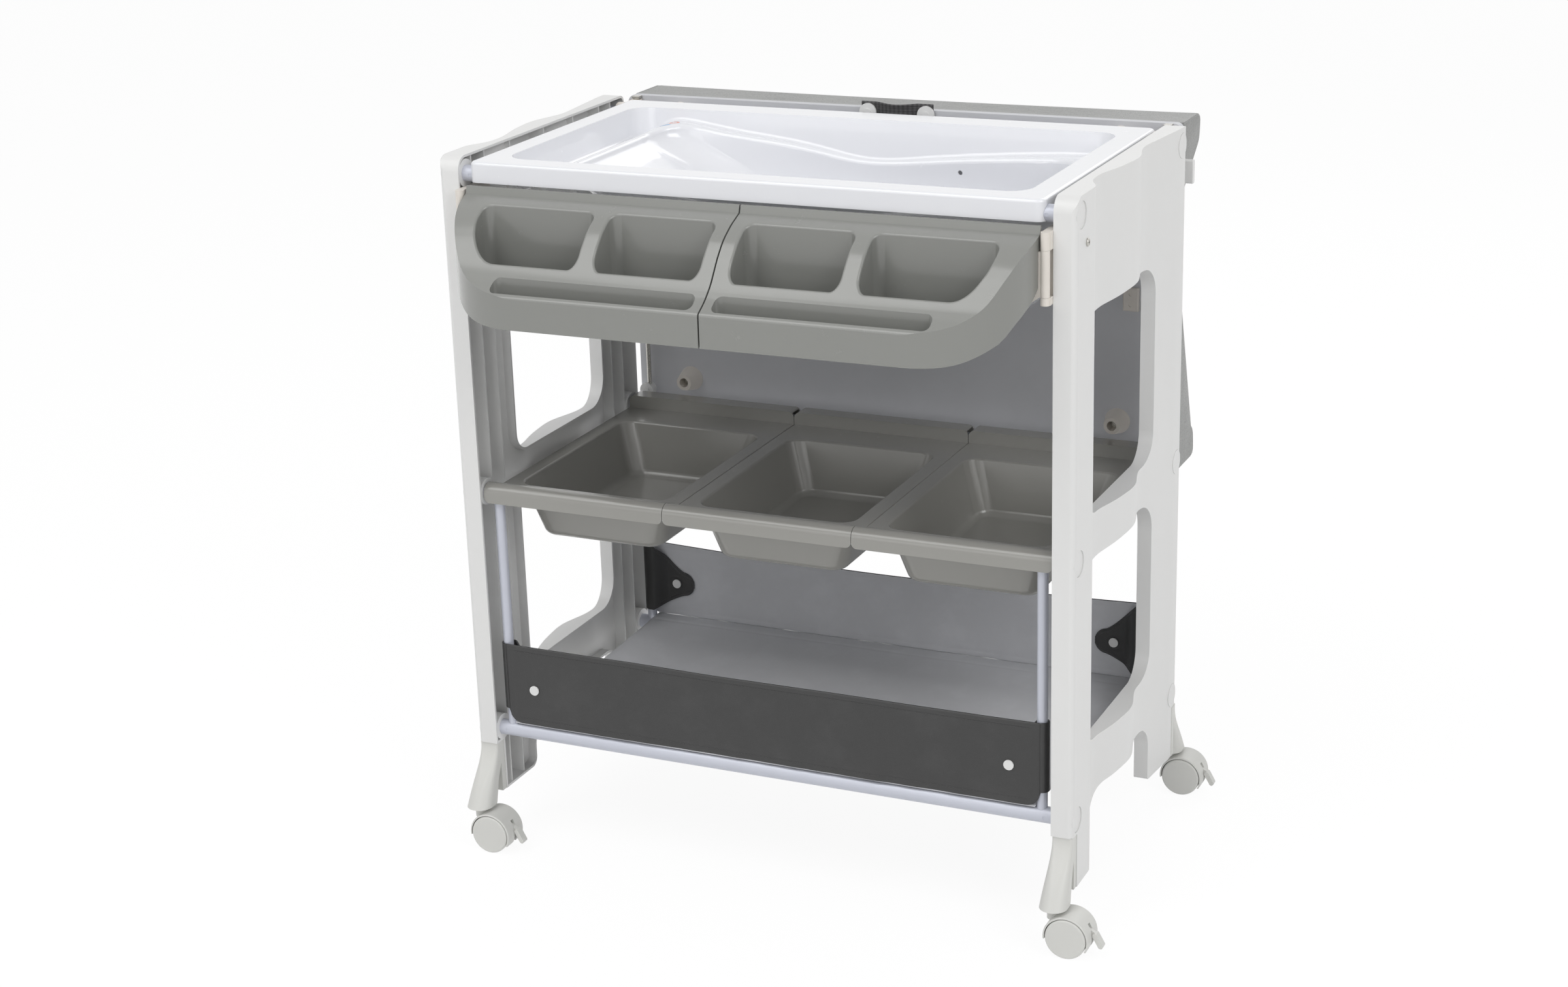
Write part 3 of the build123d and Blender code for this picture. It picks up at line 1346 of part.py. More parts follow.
def shelf_floor():
    """The shelf's floor, which rests on the bottom tubes and sags a little between them."""
    seat_z = BOTTOM_TUBE_Z + TUBE_R + SOFT_GAP
    half_x = rod_x - ROD_R - SHELF_FLOOR_MARGIN
    end_y = tube_y + ROD_R
    flat_y = tube_y - TUBE_R
    with BuildPart() as floor:
        with BuildSketch(Plane.YZ.offset(-half_x)):
            with BuildLine():
                Line((-end_y, seat_z), (-flat_y, seat_z))
                ThreePointArc((-flat_y, seat_z), (0, seat_z - SHELF_FLOOR_SAG), (flat_y, seat_z))
                Polyline(
                    (flat_y, seat_z),
                    (end_y, seat_z),
                    (end_y, seat_z + SHELF_FLOOR_THICKNESS),
                    (flat_y, seat_z + SHELF_FLOOR_THICKNESS),
                )
                ThreePointArc(
                    (flat_y, seat_z + SHELF_FLOOR_THICKNESS),
                    (0, seat_z + SHELF_FLOOR_THICKNESS - SHELF_FLOOR_SAG),
                    (-flat_y, seat_z + SHELF_FLOOR_THICKNESS),
                )
                Polyline(
                    (-flat_y, seat_z + SHELF_FLOOR_THICKNESS),
                    (-end_y, seat_z + SHELF_FLOOR_THICKNESS),
                    (-end_y, seat_z),
                )
            make_face()
        extrude(amount=2 * half_x)
    return floor.part


def shelf_tab(start_z, foot_z):
    """The front right tab: from the front panel round the upright to the panel's inner face."""
    ring_r = ROD_R + SOFT_GAP
    wrap_r = ring_r + CLOTH
    flap_y = -tube_y - ring_r + SOFT_GAP
    tip_x = TAB_TIP_X + TAB_TIP_R
    with BuildPart() as tab:
        with BuildSketch(Plane.XY.offset(start_z)):
            with Locations((rod_x, -tube_y)):
                Circle(wrap_r)
                Circle(ring_r, mode=Mode.SUBTRACT)
            with Locations((rod_x - wrap_r, -tube_y)):
                Rectangle(2 * wrap_r, 2 * wrap_r, mode=Mode.SUBTRACT)
            with BuildLine():
                Polyline(
                    (rod_x, ring_r - tube_y),
                    (rod_x, wrap_r - tube_y),
                    (TAB_ROOT_X, wrap_r - tube_y),
                    (SNAP_X + TAB_TIP_R, flap_y + CLOTH),
                    (TAB_TIP_X, flap_y + CLOTH),
                    (TAB_TIP_X, flap_y),
                    (SNAP_X + TAB_TIP_R - CLOTH / 2, flap_y),
                    (TAB_ROOT_X - CLOTH / 2, ring_r - tube_y),
                    close=True,
                )
            make_face()
        extrude(amount=SHELF_PANEL_TOP_Z - start_z)
        with BuildSketch(Plane.XZ):
            with BuildLine():
                Polyline(
                    (rod_x + wrap_r, SHELF_PANEL_BOTTOM_Z),
                    (rod_x + wrap_r, SHELF_PANEL_TOP_Z),
                    (TAB_ROOT_X, SHELF_PANEL_TOP_Z),
                    (tip_x, TAB_TIP_Z + TAB_TIP_R),
                    (tip_x, TAB_TIP_Z - TAB_TIP_R),
                    (TAB_ROOT_X, foot_z),
                    (TAB_ROOT_X, SHELF_PANEL_BOTTOM_Z),
                    close=True,
                )
            make_face()
            with Locations((tip_x, TAB_TIP_Z)):
                Circle(TAB_TIP_R)
        extrude(amount=PANEL_DEPTH, mode=Mode.INTERSECT)
    return tab.part


def shelf_tabs():
    """The shelf's four corner tabs."""
    front = shelf_tab(SHELF_PANEL_BOTTOM_Z + SHELF_PANEL_R, TAB_FOOT_Z)
    rear = mirrored(shelf_tab(TAB_REAR_FOOT_Z, TAB_REAR_FOOT_Z), Plane.XZ)
    with BuildPart() as tabs:
        add(front)
        add(rear)
        mirror(about=Plane.YZ)
    return tabs.part


def shelf_snaps():
    """The snaps through the shelf's panels and tabs."""
    inner_y = tube_y + ROD_R - CLOTH - 2 * SOFT_GAP
    outer_y = tube_y + ROD_R + SOFT_GAP + CLOTH + SOFT_GAP / 2
    with BuildPart() as snaps:
        for start_y, length in ((outer_y, SNAP_THICKNESS), (inner_y, -SNAP_THICKNESS)):
            with BuildSketch(Plane.XZ.offset(start_y)):
                with Locations((SNAP_X, TAB_TIP_Z), (-SNAP_X, TAB_TIP_Z)):
                    Circle(SNAP_R)
            extrude(amount=length)
        mirror(about=Plane.XZ)
    return snaps.part


def build_shelf():
    """The fabric shelf."""
    save(shelf_panel(False), "shelf_front")
    save(shelf_panel(True), "shelf_rear")
    save(shelf_floor(), "shelf_floor")
    save(shelf_tabs(), "shelf_tabs")
    save(shelf_snaps(), "shelf_snaps")


def mat_board():
    """The board under the changing mat."""
    with BuildPart() as board:
        with BuildSketch(Plane.XZ.offset(-mat_y)):
            with Locations((0, MAT_BOTTOM_Z + MAT_HEIGHT / 2)):
                RectangleRounded(MAT_WIDTH, MAT_HEIGHT, BOARD_CORNER_R)
        extrude(amount=-BOARD_THICKNESS)
    return board.part


def cushion_profile():
    """Side view of the cushion: a wedge along each long edge and a slightly crowned middle."""
    low_z = MAT_BOTTOM_Z + PAD_INSET
    high_z = mat_top_z - PAD_INSET
    crest_y = pad_y + WEDGE_THICKNESS
    bed_y = pad_y + PAD_THICKNESS
    bed_rise = WEDGE_LAND + WEDGE_RUN
    with BuildSketch() as profile:
        with BuildLine():
            Polyline(
                (bed_y, low_z + bed_rise),
                (crest_y, low_z + WEDGE_LAND),
                (crest_y, low_z),
                (pad_y, low_z),
                (pad_y, high_z),
                (crest_y, high_z),
                (crest_y, high_z - WEDGE_LAND),
                (bed_y, high_z - bed_rise),
            )
            ThreePointArc(
                (bed_y, high_z - bed_rise),
                (bed_y + PAD_CROWN, (low_z + high_z) / 2),
                (bed_y, low_z + bed_rise),
            )
        make_face()
        fillet(vertex_near(profile, bed_y, low_z + bed_rise), WEDGE_TOP_R)
        fillet(vertex_near(profile, bed_y, high_z - bed_rise), WEDGE_TOP_R)
        fillet(vertex_near(profile, crest_y, low_z), WEDGE_EDGE_R)
        fillet(vertex_near(profile, crest_y, high_z), WEDGE_EDGE_R)
        fillet(vertex_near(profile, crest_y, low_z + WEDGE_LAND), WEDGE_EDGE_R)
        fillet(vertex_near(profile, crest_y, high_z - WEDGE_LAND), WEDGE_EDGE_R)
    return profile.sketch


def mat_cushion():
    """The padded cushion on the board."""
    with BuildPart() as cushion:
        with BuildSketch(Plane.YZ.offset(PAD_INSET - MAT_WIDTH / 2)):
            add(cushion_profile())
        extrude(amount=MAT_WIDTH - 2 * PAD_INSET)
        ends = cushion.faces().sort_by(Axis.X)
        rims = ends[0].edges() + ends[-1].edges()
        fillet([edge for edge in rims if edge.center().Y > pad_y + OVERRUN], PAD_EDGE_R)
    return cushion.part


def guide_rods():
    """The rods down the underside of the mat, each with a stop plate at its top."""
    with BuildPart() as rods:
        with BuildSketch(Plane.XY.offset(CLIP_Z - CLIP_R / 2)):
            with Locations((guide_x, guide_y)):
                Circle(GUIDE_R)
        extrude(amount=mat_top_z - CLIP_Z + CLIP_R / 2)
        add(
            block(
                (guide_x - STOP_WIDTH / 2, guide_x + STOP_WIDTH / 2),
                (guide_y - STOP_FRONT, mat_y),
                (mat_top_z - STOP_THICKNESS, mat_top_z),
            )
        )
        mirror(about=Plane.YZ)
    return rods.part


def mat_clips():
    """The round clips that hold the lower ends of the rods."""
    with BuildPart() as clips:
        with BuildSketch(Plane.XZ.offset(-mat_y)):
            with Locations((CLIP_X, CLIP_Z)):
                Circle(CLIP_R)
        extrude(amount=CLIP_DEPTH)
        with BuildSketch(Plane.XZ.offset(CLIP_DEPTH - mat_y)):
            with Locations((CLIP_X, CLIP_Z)):
                Circle(CLIP_SCREW_R)
        extrude(amount=CLIP_SCREW_PROUD)
        with BuildSketch(Plane.XY.offset(CLIP_Z - CLIP_R / 2)):
            with Locations((guide_x, guide_y)):
                Circle(GUIDE_R + RUNNING_CLEARANCE)
        extrude(amount=2 * CLIP_R, mode=Mode.SUBTRACT)
        mirror(about=Plane.YZ)
    return clips.part


def hinge_arms():
    """The two arms that turn on the rear top tube and guide the mat's rods."""
    with BuildPart() as arms:
        with BuildSketch(Plane.YZ.offset(guide_x - ARM_THICKNESS / 2)):
            with Locations((tube_y, TOP_TUBE_Z)):
                Circle(ARM_RING_R)
            with Locations(((tube_y + guide_y) / 2, sleeve_z + SLEEVE_LENGTH / 2)):
                Rectangle(guide_y - tube_y, SLEEVE_LENGTH)
            with Locations((tube_y, TOP_TUBE_Z)):
                Circle(TUBE_R + RUNNING_CLEARANCE, mode=Mode.SUBTRACT)
        extrude(amount=ARM_THICKNESS)
        add(
            block(
                (guide_x - SLEEVE_WIDTH / 2, guide_x + SLEEVE_WIDTH / 2),
                (guide_y - SLEEVE_DEPTH / 2, guide_y + SLEEVE_DEPTH / 2),
                (sleeve_z, sleeve_z + SLEEVE_LENGTH),
            )
        )
        with BuildSketch(Plane.XY.offset(sleeve_z - OVERRUN)):
            with Locations((guide_x, guide_y)):
                Circle(GUIDE_R + RUNNING_CLEARANCE)
        extrude(amount=SLEEVE_LENGTH + 2 * OVERRUN, mode=Mode.SUBTRACT)
        mirror(about=Plane.YZ)
    return arms.part


def mat_foot(x, z):
    """One tapered foot on the mat's underside, with a deep hole for its screw."""
    with BuildPart() as cone:
        with BuildSketch(Plane.XZ.offset(-mat_y)):
            with Locations((x, z)):
                Circle(MAT_FOOT_BASE_R)
        with BuildSketch(Plane.XZ.offset(MAT_FOOT_LENGTH - mat_y)):
            with Locations((x, z)):
                Circle(MAT_FOOT_TIP_R)
        loft()
        with BuildSketch(Plane.XZ.offset(MAT_FOOT_LENGTH - MAT_FOOT_HOLE_DEPTH - mat_y)):
            with Locations((x, z)):
                Circle(MAT_FOOT_HOLE_R)
        extrude(amount=MAT_FOOT_LENGTH, mode=Mode.SUBTRACT)
    return cone.part


def mat_feet():
    """The four feet that hold the mat off the tub's rim in use."""
    with BuildPart() as feet:
        for x in (-MAT_FOOT_X, MAT_FOOT_X):
            for z in (MAT_FOOT_Z, MAT_FOOT_Z + MAT_FOOT_SPAN):
                add(mat_foot(x, z))
    return feet.part


def mat_screws():
    """The screw heads in the mat's feet."""
    with BuildPart() as screws:
        with BuildSketch(Plane.XZ.offset(MAT_FOOT_LENGTH - MAT_FOOT_HOLE_DEPTH - mat_y)):
            with GridLocations(2 * MAT_FOOT_X, MAT_FOOT_SPAN, 2, 2):
                with Locations((0, MAT_FOOT_Z + MAT_FOOT_SPAN / 2)):
                    Circle(MAT_SCREW_HEAD_R)
        extrude(amount=MAT_SCREW_HEAD_HEIGHT)
    return screws.part


def mat_keepers():
    """The two small plates on the mat's underside."""
    with BuildPart() as keepers:
        with BuildSketch(Plane.XZ.offset(-mat_y)):
            with Locations((KEEPER_X, KEEPER_Z)):
                Rectangle(KEEPER_WIDTH, KEEPER_HEIGHT)
        extrude(amount=KEEPER_THICKNESS)
        chamfer(keepers.faces().sort_by(Axis.Y)[0].edges(), KEEPER_CHAMFER)
        with BuildSketch(Plane.XZ.offset(KEEPER_THICKNESS - KEEPER_DOT_DEPTH - mat_y)):
            with Locations(
                (KEEPER_X, KEEPER_Z - KEEPER_DOT_PITCH / 2),
                (KEEPER_X, KEEPER_Z + KEEPER_DOT_PITCH / 2),
            ):
                Circle(KEEPER_DOT_R)
        extrude(amount=KEEPER_THICKNESS, mode=Mode.SUBTRACT)
        mirror(about=Plane.YZ)
    return keepers.part


def mat_catches():
    """The catches on the mat's short edges."""
    with BuildPart() as catches:
        with BuildSketch(Plane.YZ.offset(MAT_WIDTH / 2)):
            with Locations((mat_y + CATCH_THICKNESS / 2, CATCH_Z)):
                RectangleRounded(CATCH_THICKNESS, CATCH_HEIGHT, CATCH_R)
        extrude(amount=CATCH_LENGTH)
        fillet(catches.faces().sort_by(Axis.X)[-1].edges(), CATCH_R / 2)
        mirror(about=Plane.YZ)
    return catches.part


def strap_handle():
    """The strap at the mat's edge, bowed off the board so that fingers go behind it."""
    back_y = mat_y - SOFT_GAP
    front = back_y - STRAP_THICKNESS
    left, right = strap_stations
    bow_x = (left + right) / 2
    loop_x = (left + STRAP_DISC_R, right - STRAP_DISC_R)
    with BuildPart() as strap:
        with BuildSketch(Plane.XY.offset(STRAP_BOTTOM_Z)):
            with BuildLine():
                Line((STRAP_X[0], back_y), (loop_x[0], back_y))
                ThreePointArc((loop_x[0], back_y), (bow_x, back_y - STRAP_BOW), (loop_x[1], back_y))
                Polyline((loop_x[1], back_y), (STRAP_X[1], back_y), (STRAP_X[1], front), (loop_x[1], front))
                ThreePointArc((loop_x[1], front), (bow_x, front - STRAP_BOW), (loop_x[0], front))
                Polyline((loop_x[0], front), (STRAP_X[0], front), (STRAP_X[0], back_y))
            make_face()
        extrude(amount=STRAP_HEIGHT)
        with BuildSketch(Plane.XZ.offset(-mat_y)):
            with Locations((left, STRAP_DISC_Z), (right, STRAP_DISC_Z)):
                Circle(STRAP_SHANK_R + SOFT_GAP)
        extrude(amount=STRAP_BOW, mode=Mode.SUBTRACT)
    return strap.part


def strap_discs():
    """The discs that clamp the strap's ends, each with a button and a shank."""
    left, right = strap_stations
    face = STRAP_THICKNESS + 2 * SOFT_GAP
    with BuildPart() as discs:
        for start, length, radius in (
            (0, face + STRAP_DISC_THICKNESS / 2, STRAP_SHANK_R),
            (face, STRAP_DISC_THICKNESS, STRAP_DISC_R),
            (face + STRAP_DISC_THICKNESS, STRAP_BUTTON_HEIGHT, STRAP_BUTTON_R),
        ):
            with BuildSketch(Plane.XZ.offset(start - mat_y)):
                with Locations((left, STRAP_DISC_Z), (right, STRAP_DISC_Z)):
                    Circle(radius)
            extrude(amount=length)
    return discs.part


def build_mat():
    """The changing mat with its rods, arms, feet, plates and strap."""
    for name, piece in (
        ("mat_board", mat_board()),
        ("mat_cushion", mat_cushion()),
        ("guide_rods", guide_rods()),
        ("mat_clips", mat_clips()),
        ("hinge_arms", hinge_arms()),
        ("mat_feet", mat_feet()),
        ("mat_screws", mat_screws()),
        ("mat_keepers", mat_keepers()),
        ("mat_catches", mat_catches()),
        ("strap_handle", strap_handle()),
        ("strap_discs", strap_discs()),
    ):
        save(piece, name)


def axle_disc(x, y_range, radius):
    """A cylinder about a caster's axle, between two planes; x is the stem's."""
    with BuildPart() as disc:
        with BuildSketch(Plane.XZ.offset(-y_range[1])):
            with Locations((x + CASTER_TRAIL, CASTER_WHEEL_R)):
                Circle(radius)
        extrude(amount=y_range[1] - y_range[0])
    return disc.part


def pivot_disc(x, y_range, radius):
    """A cylinder about a brake lever's pivot, between two planes; x is the stem's."""
    with BuildPart() as disc:
        with BuildSketch(Plane.XZ.offset(-y_range[1])):
            with Locations((x + CASTER_TRAIL + pivot_run, CASTER_WHEEL_R + pivot_rise)):
                Circle(radius)
        extrude(amount=y_range[1] - y_range[0])
    return disc.part


def caster_body(x, y):
    """A caster's hood and web with the pintle that turns in the foot."""
    axle_x = x + CASTER_TRAIL
    slot_half = LEVER_HALF_WIDTH + LEVER_SLOT_GAP
    pivot_z = CASTER_WHEEL_R + pivot_rise
    web = (y - CASTER_WEB_HALF, y + CASTER_WEB_HALF)
    with BuildPart() as body:
        with BuildSketch(Plane.XZ.offset(-y - HOOD_HALF_WIDTH)):
            with BuildLine():
                arc = CenterArc((axle_x, CASTER_WHEEL_R), HOOD_OUTER_R, HOOD_START_DEG, HOOD_SWEEP_DEG)
                Polyline(arc @ 1, (axle_x, CASTER_WHEEL_R), arc @ 0)
            make_face()
        extrude(amount=2 * HOOD_HALF_WIDTH)
        fillet(body.edges().filter_by(GeomType.CIRCLE), HOOD_EDGE_R)
        with BuildSketch(Plane.XY.offset(STEM_ROOT_Z)):
            with Locations((x, y)):
                Circle(COLLAR_R)
        extrude(amount=FOOT_BOTTOM_Z - COLLAR_GAP - STEM_ROOT_Z)
        add(axle_disc(x, web, CASTER_WEB_R))
        for side in (-1, 1):
            room = sorted((y + side * CASTER_WEB_HALF, y + side * (HOOD_HALF_WIDTH + OVERRUN)))
            add(axle_disc(x, room, HOOD_INNER_R), mode=Mode.SUBTRACT)
        with BuildSketch(Plane.XY.offset(STEM_ROOT_Z)):
            with Locations((x, y)):
                Circle(STEM_R)
        extrude(amount=FOOT_BOTTOM_Z + STEM_SOCKET - STEM_ROOT_Z)
        add(
            block(
                (axle_x + LEVER_SLOT_REACH, axle_x + HOOD_OUTER_R + OVERRUN),
                (y - slot_half, y + slot_half),
                (pivot_z - LEVER_SLOT_DROP, pivot_z + LEVER_SLOT_RISE),
            ),
            mode=Mode.SUBTRACT,
        )
        add(axle_disc(x, web, CASTER_AXLE_R + RUNNING_CLEARANCE), mode=Mode.SUBTRACT)
        add(pivot_disc(x, web, LEVER_PIN_R + RUNNING_CLEARANCE), mode=Mode.SUBTRACT)
        add(axle_disc(x, (y - CASTER_AXLE_LENGTH / 2, y + CASTER_AXLE_LENGTH / 2), CASTER_AXLE_R))
        add(pivot_disc(x, web, LEVER_PIN_R))
    return body.part


def caster_wheels(x, y):
    """The twin wheels of a caster, bored blind for the axle."""
    end = CASTER_AXLE_LENGTH / 2 + SEAT_GAP
    with BuildPart() as wheels:
        for side in (-1, 1):
            reach = sorted(
                (y + side * CASTER_WHEEL_GAP, y + side * (CASTER_WHEEL_GAP + CASTER_WHEEL_WIDTH))
            )
            add(axle_disc(x, reach, CASTER_WHEEL_R))
        fillet(wheels.edges().filter_by(GeomType.CIRCLE), CASTER_WHEEL_EDGE_R)
        add(axle_disc(x, (y - end, y + end), CASTER_AXLE_R + RUNNING_CLEARANCE), mode=Mode.SUBTRACT)
    return wheels.part


def caster_brake(x, y):
    """A brake lever: an eye on the pin, an arm through the slot and a foot paddle."""
    pivot = (x + CASTER_TRAIL + pivot_run, CASTER_WHEEL_R + pivot_rise)
    start = (x + CASTER_TRAIL + PADDLE_START[0], CASTER_WHEEL_R + PADDLE_START[1])
    tip = (x + CASTER_TRAIL + PADDLE_TIP[0], CASTER_WHEEL_R + PADDLE_TIP[1])
    with BuildPart() as lever:
        for ends, half_width, root_r in (
            ((pivot, start), LEVER_HALF_WIDTH, LEVER_EYE_R),
            ((start, tip), PADDLE_HALF_WIDTH, PADDLE_HALF_THICKNESS),
        ):
            with BuildSketch(Plane.XZ.offset(-y - half_width)):
                with Locations(ends[0]):
                    Circle(root_r)
                with Locations(ends[1]):
                    Circle(PADDLE_HALF_THICKNESS)
                make_hull()
            extrude(amount=2 * half_width)
        bore = (y - LEVER_HALF_WIDTH, y + LEVER_HALF_WIDTH)
        add(pivot_disc(x, bore, LEVER_PIN_R + RUNNING_CLEARANCE), mode=Mode.SUBTRACT)
    return lever.part


def build_casters():
    """Four casters, each as body, wheels and brake."""
    for depth, y in (("front", stem_y), ("rear", -stem_y)):
        for side, x in (("left", -stem_x), ("right", stem_x)):
            name = "caster_" + depth + "_" + side
            save(caster_body(x, y), name + "_fork")
            save(caster_wheels(x, y), name + "_wheels")
            save(caster_brake(x, y), name + "_brake")


if __name__ == "__main__":
    os.makedirs("parts", exist_ok=True)
    build_frame()
    build_tub_and_trays()
    build_toiletry_trays()
    build_shelf()
    build_mat()
    build_casters()
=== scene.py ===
"""Changing table with a bathtub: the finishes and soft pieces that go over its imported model."""

import math

import bmesh
import bpy
import numpy as np
from mathutils import Matrix, Vector, noise


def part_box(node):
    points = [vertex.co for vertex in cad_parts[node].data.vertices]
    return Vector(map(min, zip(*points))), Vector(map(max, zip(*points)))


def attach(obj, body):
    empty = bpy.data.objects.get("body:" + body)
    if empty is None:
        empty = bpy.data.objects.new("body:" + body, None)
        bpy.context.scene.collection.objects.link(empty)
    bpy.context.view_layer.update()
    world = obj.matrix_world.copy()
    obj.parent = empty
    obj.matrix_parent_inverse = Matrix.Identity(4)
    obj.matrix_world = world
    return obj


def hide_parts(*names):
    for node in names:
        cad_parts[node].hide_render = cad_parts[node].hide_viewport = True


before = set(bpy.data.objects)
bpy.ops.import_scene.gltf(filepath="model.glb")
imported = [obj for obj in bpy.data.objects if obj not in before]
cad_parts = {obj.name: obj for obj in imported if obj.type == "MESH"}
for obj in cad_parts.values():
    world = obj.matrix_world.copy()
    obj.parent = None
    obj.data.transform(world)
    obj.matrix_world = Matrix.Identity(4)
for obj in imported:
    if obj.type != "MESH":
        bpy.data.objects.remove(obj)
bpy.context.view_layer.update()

bl_info = {
    "name": "Changing table",
    "version": (1, 0, 0),
    "blender": (4, 5, 0),
    "location": "View3D > Sidebar > Changing table",
    "description": "Finishes, cloth, cushion and stage for a changing table with a bathtub",
    "category": "Object",
}


def linear(red, green, blue):
    """A colour as seen on a screen, 0 to 255, in the linear values that sockets take."""
    parts = (part / 255 for part in (red, green, blue))
    return tuple(
        part / 12.92 if part <= 0.04045 else ((part + 0.055) / 1.055) ** 2.4 for part in parts
    )


def colour_property(name, description, red, green, blue):
    """One colour that a user may change."""
    return bpy.props.FloatVectorProperty(
        name=name,
        description=description,
        subtype="COLOR",
        size=3,
        min=0.0,
        max=1.0,
        default=linear(red, green, blue),
    )


def length_property(name, description, value, low, high):
    """One length in metres that a user may change."""
    return bpy.props.FloatProperty(
        name=name,
        description=description,
        default=value,
        min=low,
        max=high,
        precision=4,
        subtype="DISTANCE",
        unit="LENGTH",
    )


class TableColours(bpy.types.PropertyGroup):
    """The colours of the table's finishes."""

    panel: colour_property("Panels", "White plastic of the two side panels", 227, 227, 226)
    foot: colour_property("Feet and casters", "Warm white plastic near the floor", 214, 214, 210)
    tube: colour_property("Tubes", "Silver powder coat of the tubes and uprights", 204, 207, 218)
    tub: colour_property("Bathtub", "Glossy white plastic of the bathtub", 233, 234, 238)
    # The warm cream tint is painted shade: these fittings are white plastic, given the beige cast that
    # shade lends them.
    bracket: colour_property("Brackets", "Cream plastic of the small fittings", 226, 220, 212)
    tray: colour_property("Toiletry trays", "Grey plastic of the two swinging trays", 135, 136, 132)
    # Lighter than the toiletry trays, which are the same plastic: painted light standing in for the
    # light the lower trays lack under the tub.
    storage: colour_property("Storage trays", "Grey plastic of the three lower trays", 150, 149, 144)
    cloth_outside: colour_property("Cloth, outside", "Dark coated side of the shelf", 57, 57, 57)
    cloth_inside: colour_property("Cloth, inside", "Pale coated side of the shelf", 214, 215, 219)
    vinyl: colour_property("Mat cover", "Grey vinyl of the changing mat", 125, 126, 124)
    board: colour_property("Mat board", "Grey underside of the changing mat", 199, 200, 204)
    webbing: colour_property("Strap", "Dark webbing of the mat's strap", 62, 61, 62)
    cold: colour_property("Cold mark", "Blue mark on the bathtub's ledge", 146, 184, 222)
    warm: colour_property("Warm mark", "Orange ring on the bathtub's ledge", 226, 134, 104)


class TableSizes(bpy.types.PropertyGroup):
    """The sizes of the soft pieces and their sewing."""

    stitch_pitch: length_property("Stitch pitch", "From one stitch to the next", 0.0042, 0.002, 0.02)
    stitch_length: length_property("Stitch length", "Length of one stitch", 0.0030, 0.001, 0.015)
    stitch_radius: length_property("Thread radius", "Radius of the thread", 0.00032, 0.0001, 0.002)
    piping_radius: length_property("Piping radius", "Radius of the mat's piping", 0.0016, 0.0005, 0.01)
    cloth_wave: length_property("Cloth wave", "How far the shelf's cloth waves", 0.0012, 0.0, 0.006)
    weave_pitch: length_property("Weave pitch", "Width of one thread of the cloth", 0.0007, 0.0002, 0.01)
    quilt_depth: length_property("Quilt depth", "Depth of the mat's creases", 0.0016, 0.0, 0.01)


class StudioSettings(bpy.types.PropertyGroup):
    """The lamps and the camera."""

    lens: bpy.props.FloatProperty(
        name="Focal length", description="The camera's lens", default=60.74, min=10, unit="CAMERA"
    )
    sky: bpy.props.FloatProperty(
        name="Sky", description="Strength of the even light all round", default=0.50, min=0, max=2
    )
    key: bpy.props.FloatProperty(
        name="Key lamp", description="Power of the large lamp above", default=44.0, min=0, unit="POWER"
    )
    fill: bpy.props.FloatProperty(
        name="Fill lamp", description="Power of the lamp in front", default=46.0, min=0, unit="POWER"
    )


# Materials.


class Wire:
    """An output of a material's nodes that takes part in sums like a number."""

    def __init__(self, finish, socket):
        self.finish = finish
        self.socket = socket

    def maths(self, operation, first, second):
        """A Math node of two values."""
        made = self.finish.node("ShaderNodeMath", {"operation": operation}, {0: first, 1: second})
        return Wire(self.finish, made.outputs[0])

    def __add__(self, other):
        return self.maths("ADD", self, other)

    def __radd__(self, other):
        return self.maths("ADD", other, self)

    def __sub__(self, other):
        return self.maths("SUBTRACT", self, other)

    def __rsub__(self, other):
        return self.maths("SUBTRACT", other, self)

    def __mul__(self, other):
        return self.maths("MULTIPLY", self, other)

    def __rmul__(self, other):
        return self.maths("MULTIPLY", other, self)

    def __pow__(self, other):
        return self.maths("POWER", self, other)


